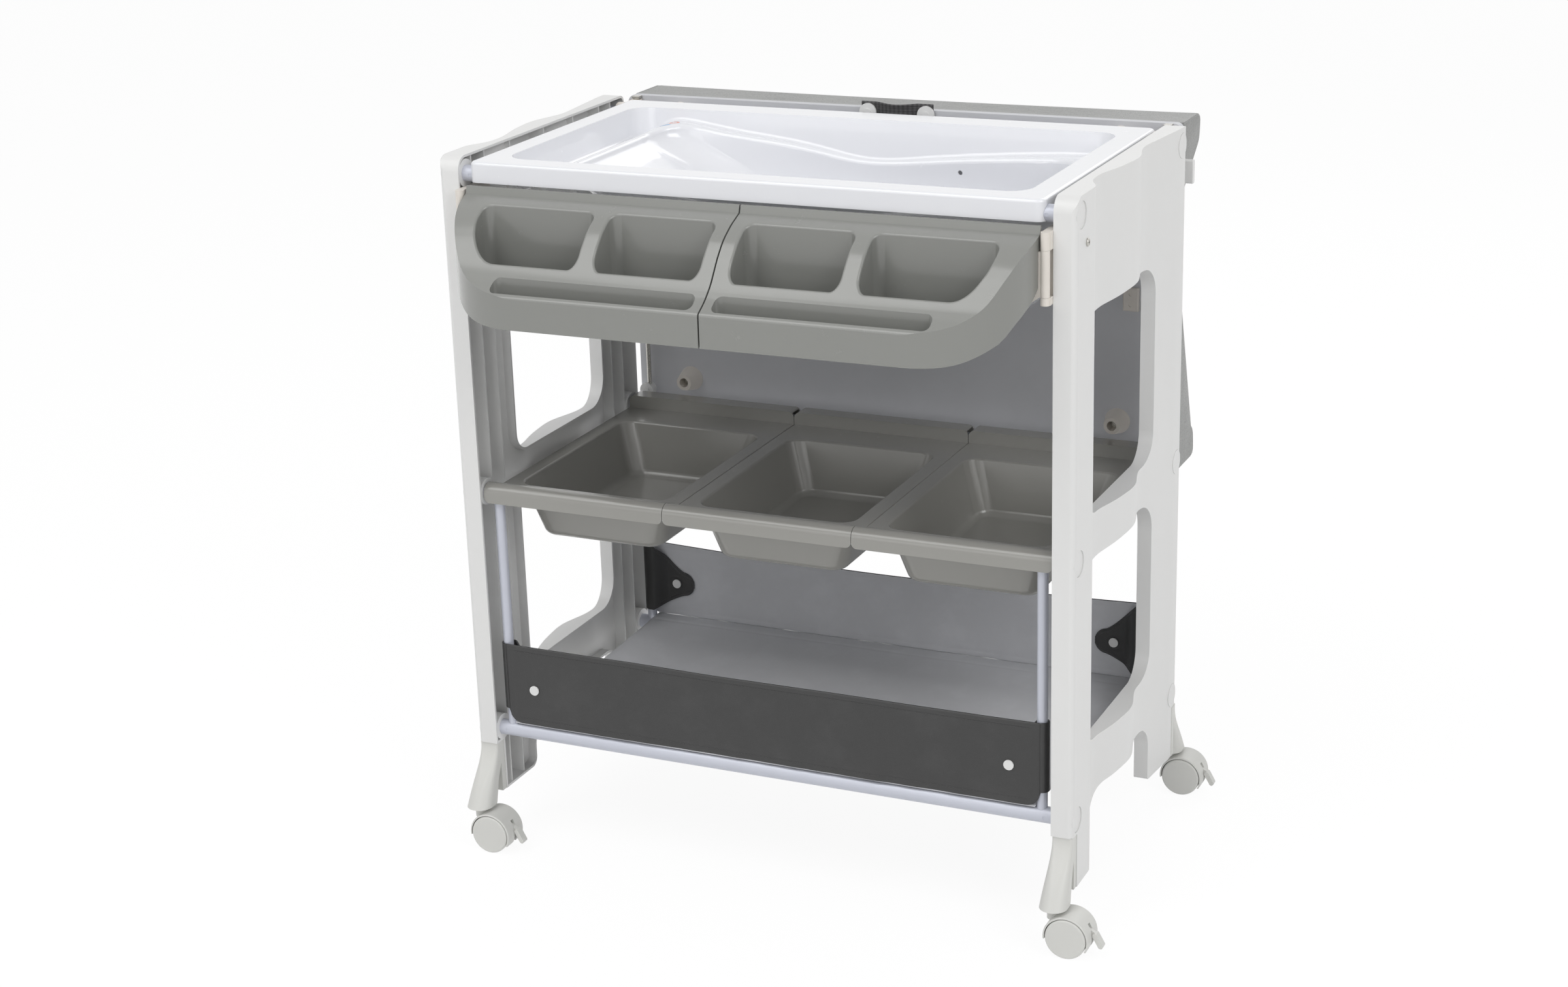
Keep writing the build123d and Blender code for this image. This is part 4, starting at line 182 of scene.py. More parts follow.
class Finish:
    """A material being made. Every node comes from one method."""

    def __init__(self, name, by_uv=False):
        self.material = bpy.data.materials.new(name)
        self.material.use_nodes = True
        self.tree = self.material.node_tree
        self.tree.nodes.clear()
        self.shader = self.node("ShaderNodeBsdfPrincipled")
        surface = Wire(self, self.shader.outputs[0])
        self.node("ShaderNodeOutputMaterial", inputs={"Surface": surface})
        made = self.node("ShaderNodeTexCoord")
        self.place = Wire(self, made.outputs["UV" if by_uv else "Object"])

    def node(self, kind, settings=None, inputs=None):
        """A node of any kind: its settings first, then its sockets' values or links."""
        made = self.tree.nodes.new(kind)
        for name, value in (settings or {}).items():
            setattr(made, name, value)
        for name, value in (inputs or {}).items():
            if isinstance(value, Wire):
                self.tree.links.new(value.socket, made.inputs[name])
            else:
                made.inputs[name].default_value = value
        return made

    def stretched(self, x, y, z, turn=0.0):
        """The place with its axes scaled, for a pattern with a direction."""
        sockets = {"Vector": self.place, "Scale": (x, y, z), "Rotation": (0.0, 0.0, turn)}
        return Wire(self, self.node("ShaderNodeMapping", inputs=sockets).outputs[0])

    def noise(self, scale, detail=2.0, place=None, roughness=0.5):
        """Soft random values, about 0.5 on average."""
        sockets = {
            "Vector": place or self.place,
            "Scale": scale,
            "Detail": detail,
            "Roughness": roughness,
        }
        return Wire(self, self.node("ShaderNodeTexNoise", inputs=sockets).outputs[0])

    def cells(self, scale, kind="F1", place=None):
        """Distances in a pattern of random cells, as on leather."""
        sockets = {"Vector": place or self.place, "Scale": scale}
        made = self.node("ShaderNodeTexVoronoi", {"feature": kind}, sockets)
        return Wire(self, made.outputs["Distance"])

    def bands(self, direction, scale):
        """Even ridges across one axis."""
        settings = {"wave_type": "BANDS", "bands_direction": direction}
        made = self.node("ShaderNodeTexWave", settings, {"Vector": self.place, "Scale": scale})
        return Wire(self, made.outputs[1])

    def ranged(self, value, low, high, to_low=0.0, to_high=1.0):
        """A value carried from one range to another, with soft ends."""
        sockets = {
            "Value": value,
            "From Min": low,
            "From Max": high,
            "To Min": to_low,
            "To Max": to_high,
        }
        made = self.node("ShaderNodeMapRange", {"interpolation_type": "SMOOTHSTEP"}, sockets)
        return Wire(self, made.outputs[0])

    def tint(self, factor, first, second):
        """A colour between two colours."""
        first, second = ((*c, 1.0) if isinstance(c, tuple) else c for c in (first, second))
        made = self.node("ShaderNodeMix", {"data_type": "RGBA"}, {0: factor, 6: first, 7: second})
        return Wire(self, made.outputs[2])

    def relief(self, height, distance, strength=1.0, under=None):
        """A bumped normal from a height."""
        sockets = {"Height": height, "Distance": distance, "Strength": strength}
        if under:
            sockets["Normal"] = under
        return Wire(self, self.node("ShaderNodeBump", inputs=sockets).outputs[0])

    def set(self, **sockets):
        """Values or links of the shader's sockets, such as roughness or coat_weight."""
        for name, value in sockets.items():
            socket = self.shader.inputs[name.replace("_", " ").title()]
            if isinstance(value, Wire):
                self.tree.links.new(value.socket, socket)
            else:
                socket.default_value = value


def shade(colour, factor):
    """A colour made darker or lighter."""
    return tuple(min(1.0, part * factor) for part in tuple(colour)[:3])


def moulded(name, colour, rough, haze, coat=0.0):
    """Moulded plastic: faint clouding, fine grain and small rubbed patches."""
    finish = Finish(name)
    cloud = finish.noise(4.5, 3.0)
    rub = finish.noise(46.0, 5.0, roughness=0.6)
    grain = finish.noise(1300.0, 1.0)
    base = finish.tint(cloud, shade(colour, 1 - haze), shade(colour, 1 + haze / 2))
    scuffed = finish.ranged(rub, 0.66, 0.80, 0.0, 0.16)
    finish.set(
        base_color=finish.tint(scuffed, base, shade(colour, 1 - 1.5 * haze)),
        roughness=rough + (rub - 0.5) * 0.16 + (grain - 0.5) * 0.06,
        normal=finish.relief(grain + finish.noise(210.0, 2.0) * 0.8, 0.00005),
        coat_roughness=0.12,
        coat_weight=coat,
    )
    return finish.material


def polished(name, colour):
    """Glossy moulded sheet with the slight waviness that bends its reflections."""
    finish = Finish(name)
    wave = finish.noise(7.0, 2.0)
    ripple = finish.noise(160.0, 2.0)
    rub = finish.noise(60.0, 5.0)
    base = finish.tint(wave, shade(colour, 0.985), shade(colour, 1.01))
    slow = finish.relief(wave, 0.0012)
    finish.set(
        base_color=base,
        roughness=0.17 + (rub - 0.5) * 0.08 + finish.ranged(rub, 0.62, 0.8, 0.0, 0.12),
        normal=finish.relief(ripple, 0.00003, under=slow),
        coat_weight=0.6,
        coat_roughness=0.05,
    )
    return finish.material


def powder_coat(name, colour):
    """Silver powder coat: a fine orange peel with small bright flakes."""
    finish = Finish(name)
    flakes = finish.cells(2600.0)
    peel = finish.noise(420.0, 2.0)
    glint = finish.ranged(flakes, 0.05, 0.35, 1.0, 0.0)
    finish.set(
        base_color=finish.tint(glint * 0.5, shade(colour, 0.94), shade(colour, 1.12)),
        metallic=finish.ranged(glint, 0.2, 1.0, 0.15, 0.5),
        roughness=0.36 + (peel - 0.5) * 0.2,
        normal=finish.relief(peel, 0.00008),
    )
    return finish.material


def bright_steel(name, colour):
    """Plated steel with faint turning marks."""
    finish = Finish(name)
    marks = finish.noise(900.0, 3.0, finish.stretched(1.0, 0.15, 1.0))
    stain = finish.noise(130.0, 4.0)
    finish.set(
        base_color=finish.tint(stain, shade(colour, 0.82), shade(colour, 1.05)),
        metallic=1.0,
        roughness=0.26 + (marks - 0.5) * 0.22,
        normal=finish.relief(marks, 0.00003),
    )
    return finish.material


def coated_cloth(name, colour, pitch, rough, mottle):
    """Coated woven cloth: crossed threads under a thin coat, with lighter cloudy patches that are partly
    random tone and partly painted sheen.
    """
    finish = Finish(name, by_uv=True)
    turns = 0.05 / pitch * 2
    warp = finish.bands("X", turns)
    weft = finish.bands("Y", turns)
    weave = warp * (1 - weft) + weft * (1 - warp)
    cloud = finish.noise(16.0, 5.0, roughness=0.62)
    creases = finish.noise(55.0, 3.0, finish.stretched(1.0, 0.35, 1.0, 0.5))
    # Lighter cloudy patches: partly random tone in the coat, partly a painted sheen.
    mottle_and_sheen = finish.ranged(cloud, 0.45, 0.7, 0.0, mottle)
    base = finish.tint(mottle_and_sheen, shade(colour, 0.94), shade(colour, 1.25))
    slow = finish.relief(creases + cloud * 0.7, 0.0007)
    finish.set(
        base_color=finish.tint(weave * 0.3, base, shade(colour, 0.8)),
        roughness=rough + (cloud - 0.5) * 0.3 + (weave - 0.5) * 0.06,
        normal=finish.relief(weave, 0.00007, under=slow),
        sheen_weight=0.06,
        sheen_roughness=0.4,
    )
    return finish.material


def grained_vinyl(name, colour):
    """Vinyl with a leather grain of small creased cells."""
    finish = Finish(name)
    warped = finish.stretched(1.0, 1.0, 1.25)
    pebbles = finish.cells(520.0, "SMOOTH_F1", warped)
    wrinkles = finish.noise(26.0, 5.0, roughness=0.6)
    shine = finish.noise(9.0, 3.0)
    base = finish.tint(wrinkles, shade(colour, 0.9), shade(colour, 1.1))
    slow = finish.relief(wrinkles, 0.0011)
    finish.set(
        base_color=finish.tint(finish.ranged(pebbles, 0.3, 0.75), base, shade(colour, 0.82)),
        roughness=0.27 + (shine - 0.5) * 0.14 + pebbles * 0.12,
        normal=finish.relief(1 - pebbles, 0.00016, under=slow),
    )
    return finish.material


def laminate(name, colour):
    """The mat board's matt, faintly mottled film."""
    finish = Finish(name)
    cloud = finish.noise(11.0, 5.0, roughness=0.6)
    fleck = finish.noise(700.0, 2.0)
    finish.set(
        base_color=finish.tint(cloud, shade(colour, 0.93), shade(colour, 1.06)),
        roughness=0.47 + (cloud - 0.5) * 0.2,
        normal=finish.relief(fleck + cloud * 2, 0.00006),
    )
    return finish.material


def ribbed_webbing(name, colour):
    """Webbing: close ribs across its length and a soft sheen."""
    finish = Finish(name, by_uv=True)
    ribs = finish.bands("X", 55.0)
    strands = finish.bands("Y", 90.0)
    fuzz = finish.noise(900.0, 3.0)
    base = finish.tint(ribs, shade(colour, 0.55), shade(colour, 1.35))
    finish.set(
        base_color=finish.tint(fuzz * 0.4, base, shade(colour, 0.7)),
        roughness=0.42 + (fuzz - 0.5) * 0.3 + (1 - ribs) * 0.15,
        normal=finish.relief(ribs + strands * 0.35 + fuzz * 0.2, 0.00035),
        sheen_weight=0.15,
        sheen_roughness=0.35,
    )
    return finish.material


def spun_thread(name, colour):
    """Sewing thread with a twist."""
    finish = Finish(name)
    twist = finish.noise(2400.0, 2.0, finish.stretched(1.0, 1.0, 2.0))
    finish.set(
        base_color=finish.tint(twist, shade(colour, 0.75), shade(colour, 1.2)),
        roughness=0.6 + (twist - 0.5) * 0.2,
        normal=finish.relief(twist, 0.0001),
    )
    return finish.material


def printed(name, colour):
    """Pad-printed ink that takes the gloss of what is under it."""
    finish = Finish(name)
    film = finish.noise(800.0, 3.0)
    finish.set(
        base_color=finish.tint(film, shade(colour, 0.93), shade(colour, 1.05)),
        roughness=0.25 + (film - 0.5) * 0.14,
        normal=finish.relief(film, 0.00002),
    )
    return finish.material


# Meshes.

LIP_SHARE = 0.6
STITCH_LIFT = 0.00012


def coat_nodes(material, *names):
    """Give CAD nodes a finish."""
    for name in names:
        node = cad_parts[name]
        for place in node.material_slots:
            place.material = material


def new_piece(name, mesh, body, slot, *materials):
    """A finished piece at the origin, on its body."""
    piece = bpy.data.objects.new(name, mesh)
    bpy.context.scene.collection.objects.link(piece)
    for material in materials:
        mesh.materials.append(material)
    mesh.shade_smooth()
    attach(piece, body)
    return piece


def sheet_normals(middle):
    """The directions along and across a grid of points, and its unit normals."""
    along = np.gradient(middle, axis=0)
    across = np.gradient(middle, axis=1)
    normal = np.cross(along, across)
    normal /= np.linalg.norm(normal, axis=2)[..., None]
    return along, across, normal


def plain_mesh(name, build):
    """The finished mesh of a form built in bmesh."""
    made = bpy.data.meshes.new(name)
    build.to_mesh(made)
    build.free()
    return made


def closed_sheet(name, middle, outward, inward, around):
    """A closed sheet from a grid of points, its thickness to each side and its flat places."""
    rows, columns = middle.shape[:2]
    along, across, normal = sheet_normals(middle)
    front = middle + normal * outward[..., None]
    back = middle - normal * inward[..., None]
    edge = [(row, 0) for row in range(rows)]
    edge += [(rows - 1, column) for column in range(1, columns)]
    edge += [(row, columns - 1) for row in range(rows - 2, -1, -1)]
    edge += [(0, column) for column in range(columns - 2, 0, -1)]
    lip = []
    for row, column in edge:
        push = np.zeros(3)
        if row in (0, rows - 1):
            push += along[row, column] * (1 if row else -1) / np.linalg.norm(along[row, column])
        if column in (0, columns - 1):
            push += across[row, column] * (1 if column else -1) / np.linalg.norm(across[row, column])
        push /= np.linalg.norm(push)
        depth = (outward[row, column] + inward[row, column]) * LIP_SHARE / 2
        lip.append((front[row, column] + back[row, column]) / 2 + push * depth)
    mesh = bmesh.new()
    flat = mesh.loops.layers.uv.new("cloth")
    tops = [[mesh.verts.new(front[r, c]) for c in range(columns)] for r in range(rows)]
    unders = [[mesh.verts.new(back[r, c]) for c in range(columns)] for r in range(rows)]
    lips = [mesh.verts.new(point) for point in lip]
    spots = {}
    for r in range(rows):
        for c in range(columns):
            spots[tops[r][c]] = spots[unders[r][c]] = around[r, c]
    for vertex, (r, c) in zip(lips, edge):
        spots[vertex] = around[r, c]
    for r in range(rows - 1):
        for c in range(columns - 1):
            mesh.faces.new((tops[r][c], tops[r + 1][c], tops[r + 1][c + 1], tops[r][c + 1]))
            face = mesh.faces.new(
                (unders[r][c], unders[r][c + 1], unders[r + 1][c + 1], unders[r + 1][c])
            )
            face.material_index = 1
    for index, (r, c) in enumerate(edge):
        step = (index + 1) % len(edge)
        next_r, next_c = edge[step]
        mesh.faces.new((tops[next_r][next_c], tops[r][c], lips[index], lips[step]))
        mesh.faces.new((lips[step], lips[index], unders[r][c], unders[next_r][next_c]))
    for face in mesh.faces:
        for loop in face.loops:
            loop[flat].uv = spots[loop.vert]
    bmesh.ops.recalc_face_normals(mesh, faces=mesh.faces)
    return plain_mesh(name, mesh)


def blank_grids(rows, columns, half):
    """Empty grids of a sheet: its points, its thickness to each side and its flat places."""
    return (
        np.zeros((rows, columns, 3)),
        np.full((rows, columns), half),
        np.full((rows, columns), half),
        np.zeros((rows, columns, 2)),
    )


def outward_points(middle, outward, lift):
    """The outer face of a sheet, lifted a little."""
    normal = sheet_normals(middle)[2]
    return middle + normal * (outward + lift)[..., None]


def graded(low, high, steps, edge, fine):
    """Stations from low to high, closer together near both ends."""
    start = np.linspace(low, low + edge, fine)[:-1]
    inner = np.linspace(low + edge, high - edge, steps)
    end = np.linspace(high - edge, high, fine)[1:]
    return np.concatenate((start, inner, end))


def ridge(distance, form):
    """A soft ridge: its height, the distance at which it peaks and its half width."""
    height, peak, width = form
    return height * math.exp(-(((distance - peak) / width) ** 2))


def waviness(x, y, seed):
    """A smooth random wave between about -1 and 1, the same on each run."""
    return noise.noise(Vector((x, y, seed))) * 1.6


def round_cord(name, points, radius):
    """A round cord along a closed line of points, as a closed mesh."""
    curve = bpy.data.curves.new(name + "_path", "CURVE")
    curve.dimensions = "3D"
    spline = curve.splines.new("POLY")
    spline.points.add(len(points) - 1)
    for target, point in zip(spline.points, points):
        target.co = (*point, 1.0)
    spline.use_cyclic_u = True
    curve.bevel_depth = radius
    curve.bevel_resolution = 1
    holder = bpy.data.objects.new(name + "_path", curve)
    mesh = bpy.data.meshes.new_from_object(holder)
    bpy.data.objects.remove(holder)
    bpy.data.curves.remove(curve)
    return mesh


def joined(name, meshes):
    """Several meshes in one."""
    whole = bmesh.new()
    for mesh in meshes:
        whole.from_mesh(mesh)
        bpy.data.meshes.remove(mesh)
    bmesh.ops.recalc_face_normals(whole, faces=whole.faces)
    return plain_mesh(name, whole)


def stitch_tree(material):
    """A node tree that lays stitches along the edges of a mesh."""
    tree = bpy.data.node_groups.new("stitches", "GeometryNodeTree")
    face = tree.interface
    face.new_socket("Geometry", in_out="INPUT", socket_type="NodeSocketGeometry")
    sockets = {}
    for label, value in (("Pitch", 0.004), ("Length", 0.003), ("Radius", 0.0003)):
        socket = face.new_socket(label, in_out="INPUT", socket_type="NodeSocketFloat")
        socket.default_value = value
        sockets[label] = socket.identifier
    face.new_socket("Geometry", in_out="OUTPUT", socket_type="NodeSocketGeometry")
    nodes, link = tree.nodes, tree.links.new
    start = nodes.new("NodeGroupInput")
    to_curve = nodes.new("GeometryNodeMeshToCurve")
    to_points = nodes.new("GeometryNodeCurveToPoints")
    to_points.mode = "LENGTH"
    bead = nodes.new("GeometryNodeMeshUVSphere")
    bead.inputs["Segments"].default_value = 6
    bead.inputs["Rings"].default_value = 5
    halved = nodes.new("ShaderNodeMath")
    halved.operation = "DIVIDE"
    halved.inputs[1].default_value = 2.0
    stretch = nodes.new("ShaderNodeCombineXYZ")
    lay = nodes.new("GeometryNodeInstanceOnPoints")
    real = nodes.new("GeometryNodeRealizeInstances")
    coat = nodes.new("GeometryNodeSetMaterial")
    coat.inputs["Material"].default_value = material
    end = nodes.new("NodeGroupOutput")
    link(start.outputs["Geometry"], to_curve.inputs["Mesh"])
    link(to_curve.outputs["Curve"], to_points.inputs["Curve"])
    link(start.outputs["Pitch"], to_points.inputs["Length"])
    link(start.outputs["Length"], halved.inputs[0])
    link(start.outputs["Radius"], stretch.inputs["X"])
    link(start.outputs["Radius"], stretch.inputs["Y"])
    link(halved.outputs[0], stretch.inputs["Z"])
    link(to_points.outputs["Points"], lay.inputs["Points"])
    link(to_points.outputs["Rotation"], lay.inputs["Rotation"])
    link(bead.outputs["Mesh"], lay.inputs["Instance"])
    link(stretch.outputs[0], lay.inputs["Scale"])
    link(lay.outputs["Instances"], real.inputs["Geometry"])
    link(real.outputs["Geometry"], coat.inputs["Geometry"])
    link(coat.outputs["Geometry"], end.inputs["Geometry"])
    return tree, sockets


def stitched(name, lines, body, slot, tree, sockets, material):
    """Stitches along lines of points, as one plain mesh on a body."""
    sizes = bpy.context.scene.table_sizes
    path = bpy.data.meshes.new(name + "_lines")
    points, edges = [], []
    for line in lines:
        first = len(points)
        points += [tuple(point) for point in line]
        edges += [(first + step, first + step + 1) for step in range(len(line) - 1)]
    path.from_pydata(points, edges, [])
    holder = bpy.data.objects.new(name + "_lines", path)
    bpy.context.scene.collection.objects.link(holder)
    modifier = holder.modifiers.new("stitches", "NODES")
    modifier.node_group = tree
    modifier[sockets["Pitch"]] = sizes.stitch_pitch
    modifier[sockets["Length"]] = sizes.stitch_length
    modifier[sockets["Radius"]] = sizes.stitch_radius
    graph = bpy.context.evaluated_depsgraph_get()
    mesh = bpy.data.meshes.new_from_object(holder.evaluated_get(graph), depsgraph=graph)
    holder.modifiers.clear()
    bpy.data.objects.remove(holder)
    bpy.data.meshes.remove(path)
    mesh.materials.clear()
    if not mesh.polygons:
        raise RuntimeError(f"{name} has no stitches")
    return new_piece(name, mesh, body, slot, material)


# The hard parts.

CORNERS = ("front_left", "front_right", "rear_left", "rear_right")
STEEL = linear(196, 194, 188)
MARK_PLACES = ((-0.2720, 0.134), (-0.2660, 0.149))
MARK_HALF = (0.0078, 0.0055)
MARK_HEIGHT = 0.0002
MARK_LIFT = 0.00002
MARK_RINGS = (0.0, 0.3, 0.55, 0.8, 0.95, 1.0)
MARK_SIDES = 32
RING_HOLLOW = 0.55
ABOVE_ALL = 2.0


class TABLE_OT_plastics(bpy.types.Operator):
    """Give the moulded parts their finishes"""

    bl_idname = "table.plastics"
    bl_label = "Plastics"

    def execute(self, context):
        colours = context.scene.table_colours
        panel = moulded("panel_white", colours.panel, 0.40, haze=0.03)
        foot = moulded("foot_white", colours.foot, 0.42, haze=0.04)
        # White plastic with the beige cast of shade painted into its colour.
        shade_tinted_white = moulded("fitting_cream", colours.bracket, 0.44, haze=0.05)
        tray = moulded("tray_grey", colours.tray, 0.24, haze=0.025, coat=0.35)
        # The storage trays get a lighter copy of the toiletry trays' plastic: painted light for the
        # shade under the tub.
        storage = moulded("storage_grey", colours.storage, 0.23, haze=0.03, coat=0.4)
        disc = moulded("disc_white", colours.panel, 0.30, haze=0.02)
        coat_nodes(panel, "side_panel_left", "side_panel_right", "panel_caps", "tube_plugs")
        for end in CORNERS:
            coat_nodes(foot, "foot_" + end)
            for part in ("fork", "wheels", "brake"):
                coat_nodes(foot, f"caster_{end}_{part}")
        for side in ("left", "right"):
            coat_nodes(tray, "toiletry_tray_" + side)
            coat_nodes(shade_tinted_white, "tray_arm_" + side, "tray_bracket_" + side)
        coat_nodes(shade_tinted_white, "mat_feet", "mat_keepers", "hinge_arms")
        for place in ("left", "middle", "right"):
            coat_nodes(storage, "storage_tray_" + place)
        coat_nodes(disc, "mat_catches", "strap_discs", "shelf_snaps", "mat_clips")
        return {"FINISHED"}


class TABLE_OT_metals(bpy.types.Operator):
    """Give the tubes, rods and screws their finishes"""

    bl_idname = "table.metals"
    bl_label = "Metals"

    def execute(self, context):
        silver = powder_coat("tube_silver", context.scene.table_colours.tube)
        steel = bright_steel("screw_steel", STEEL)
        for row in ("top", "middle", "bottom"):
            coat_nodes(silver, "tube_front_" + row, "tube_rear_" + row)
        for end in CORNERS:
            coat_nodes(silver, "upright_" + end)
        coat_nodes(steel, "panel_bolts", "tray_pins", "bracket_screws", "mat_screws", "guide_rods")
        return {"FINISHED"}


def on_surface(piece, start, direction, lift):
    """The point where a ray meets a piece, lifted off its face."""
    hit, place, normal, _ = piece.ray_cast(Vector(start), Vector(direction))
    if not hit:
        raise RuntimeError(f"{piece.name} isn't met from {start}")
    return place + normal * lift


def temperature_mark(tub, name, centre, hollow):
    """A low printed dot, or a ring where it is hollow, that follows the tub's ledge."""
    mesh = bmesh.new()
    loops = []
    for share in (share for share in MARK_RINGS if share >= hollow):
        loop = []
        for step in range(1 if share == 0 else MARK_SIDES):
            turn = math.tau * step / MARK_SIDES
            x = centre[0] + MARK_HALF[0] * share * math.cos(turn)
            y = centre[1] + MARK_HALF[1] * share * math.sin(turn)
            from_middle = (2 * share - 1 - hollow) / (1 - hollow) if hollow else share
            rise = MARK_HEIGHT * math.sqrt(max(0.0, 1 - from_middle**2))
            spot = on_surface(tub, (x, y, ABOVE_ALL), (0, 0, -1), rise + MARK_LIFT)
            loop.append(mesh.verts.new(spot))
        loops.append(loop)
    for inner, outer in zip(loops, loops[1:]):
        for step in range(MARK_SIDES):
            after = (step + 1) % MARK_SIDES
            if len(inner) == 1:
                mesh.faces.new((inner[0], outer[step], outer[after]))
            else:
                mesh.faces.new((inner[step], outer[step], outer[after], inner[after]))
    if not hollow:
        mesh.faces.new(list(reversed(loops[-1])))
    bmesh.ops.recalc_face_normals(mesh, faces=mesh.faces)
    return plain_mesh(name, mesh)


class TABLE_OT_bathtub(bpy.types.Operator):
    """Finish the bathtub and print the two temperature marks on its ledge"""

    bl_idname = "table.bathtub"
    bl_label = "Bathtub"

    def execute(self, context):
        colours = context.scene.table_colours
        gloss = polished("tub_white", colours.tub)
        coat_nodes(gloss, "bathtub", "drain_plug")
        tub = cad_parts["bathtub"]
        for name, colour, centre, hollow in (
            ("cold_mark", colours.cold, MARK_PLACES[0], 0.0),
            ("warm_mark", colours.warm, MARK_PLACES[1], RING_HOLLOW),
        ):
            mark = temperature_mark(tub, name, centre, hollow)
            new_piece(name, mark, "frame", "tub_white", printed(name + "_ink", colour))
        return {"FINISHED"}


# The cloth shelf.

ROD_X = 0.3565
ROD_Y = 0.197
WRAP_R = 0.0078
HALF_CLOTH = 0.001
PANEL_LOW = 0.164
PANEL_HIGH = 0.270
PANEL_CORNER = {"front": 0.018, "rear": 0.008}
PANEL_DIP = {"front": 0.0012, "rear": 0.007}
PANEL_FREE_FROM_END = 0.05
PANEL_BELLY = 0.0022
PANEL_FOLD = 0.0007
TOP_ROLL = (0.0008, 0.003, 0.0034)
REAR_ROLL = 0.0004
HEM_GROOVE = (0.00035, 0.0072, 0.0011)
HEM_INSET = 0.0075
HEM_SKIP = 6
SNAP = (0.318, 0.212)
SNAP_SEAT = 0.009
SNAP_REACH = 0.03

FLOOR_HALF_CLOTH = 0.0012
FLOOR_DROP = 0.0015
FLOOR_FLAT_Y = 0.187
FLOOR_SAG = 0.006
FLOOR_WAVE = 0.0011
FLOOR_PUCKER = (0.0011, 0.170, 0.012)
FLOOR_SEAM = (0.0012 * 0.6, 0.181, 0.0022)
FLOOR_HEM_GROOVE = (0.0003, 0.006, 0.001)

TAB_TIP_X = 0.309
TAB_TIP_R = 0.017
TAB_TIP_START = 0.002
TAB_ROOT_X = 0.350
TAB_FOOT = {"front": 0.186, "rear": 0.173}
TAB_START = {"front": 0.182, "rear": 0.173}
TAB_FOOT_EASE = 0.006
TAB_BACK = (ROD_X - 0.003, 0.3505)
TAB_LAP_Y = -0.2025
TAB_LAP_RUN = 0.0205
TAB_LAP_X = (0.3290, 0.2990)
TAB_END_X = (0.2980, 0.2924)
TAB_EDGE_X = 0.2915
TAB_WRAP_POINTS = 18
TAB_HALF_CLOTH = HALF_CLOTH * 0.9
TAB_RING = (0.0005, 0.0098, 0.0008)
TAB_RAYS = (0.0004, 0.0122, 0.0011)
TAB_RAY_COUNT = 8
TAB_GROOVE = (0.0004, 0.0030, 0.0008)
TAB_STITCH_INSET = 0.0055
TAB_STITCH_LIFT = 0.0001

shelf_parts = []


def shelf_finishes():
    """The shelf's two cloth faces, its thread and its stitch tree, made once."""
    if not shelf_parts:
        colours = bpy.context.scene.table_colours
        pitch = bpy.context.scene.table_sizes.weave_pitch
        thread = spun_thread("shelf_thread", shade(colours.cloth_outside, 1.7))
        shelf_parts.extend(
            [
                coated_cloth("cloth_dark", colours.cloth_outside, pitch, 0.42, 0.8),
                coated_cloth("cloth_pale", colours.cloth_inside, pitch, 0.50, 0.25),
                thread,
                *stitch_tree(thread),
            ]
        )
    return shelf_parts


def inset_point(points, row, high, inset):
    """The point of one row of a grid that lies an inset from its upper or lower edge."""
    line = points[row]
    edge = line[-1][2] if high else line[0][2]
    goal = edge - inset if high else edge + inset
    order = np.argsort(line[:, 2])
    return tuple(np.interp(goal, line[order, 2], line[order, axis]) for axis in range(3))


def snap_calm(x, z):
    """0 at a snap, rising to 1 away from it."""
    far = math.hypot(abs(x) - SNAP[0], z - SNAP[1])
    return min(1.0, max(0.0, (far - SNAP_SEAT) / SNAP_REACH)) ** 1.5


def panel_grid(row):
    """The grids of the front or rear panel."""
    sizes = bpy.context.scene.table_sizes
    rear = row == "rear"
    side = 1 if rear else -1
    corner = PANEL_CORNER[row]
    xs = graded(-ROD_X, ROD_X, 120, 0.02, 9)
    shares = graded(0.0, 1.0, 22, 0.09, 8)
    middle, outward, inward, flat = blank_grids(len(xs), len(shares), HALF_CLOTH)
    for i, x in enumerate(xs):
        near_end = max(0.0, abs(x) - (ROD_X - corner))
        low = PANEL_LOW + corner - math.sqrt(max(0.0, corner**2 - near_end**2))
        mid_span = 1 - (x / ROD_X) ** 2
        high = PANEL_HIGH - PANEL_DIP[row] * mid_span
        for j, part in enumerate(shares):
            z = low + (high - low) * part
            free = min(1.0, (ROD_X - abs(x)) / PANEL_FREE_FROM_END) * snap_calm(x, z)
            belly = PANEL_BELLY * math.sin(math.pi * min(1, part * 1.1)) * mid_span
            wave = sizes.cloth_wave * waviness(x * 9, z * 14, 3 + side)
            folds = PANEL_FOLD * waviness(x * 38, z * 11, 8 + side) * (1 - part)
            y = ROD_Y + WRAP_R + (belly + wave + folds) * free
            middle[i, j] = (x, side * y, z)
            flat[i, j] = (x, z)
            from_top = high - z
            height, centre, width = TOP_ROLL
            roll = height * max(0.0, 1 - ((from_top - centre) / width) ** 2)
            edge = min(from_top, z - low, ROD_X - abs(x))
            groove = ridge(edge, HEM_GROOVE)
            outward[i, j] += (REAR_ROLL if rear else roll) * min(1.0, free * 3 + 0.2) - groove
            inward[i, j] -= groove
    grids = (middle, outward, inward, flat)
    return tuple(grid[::-1] for grid in grids) if rear else grids


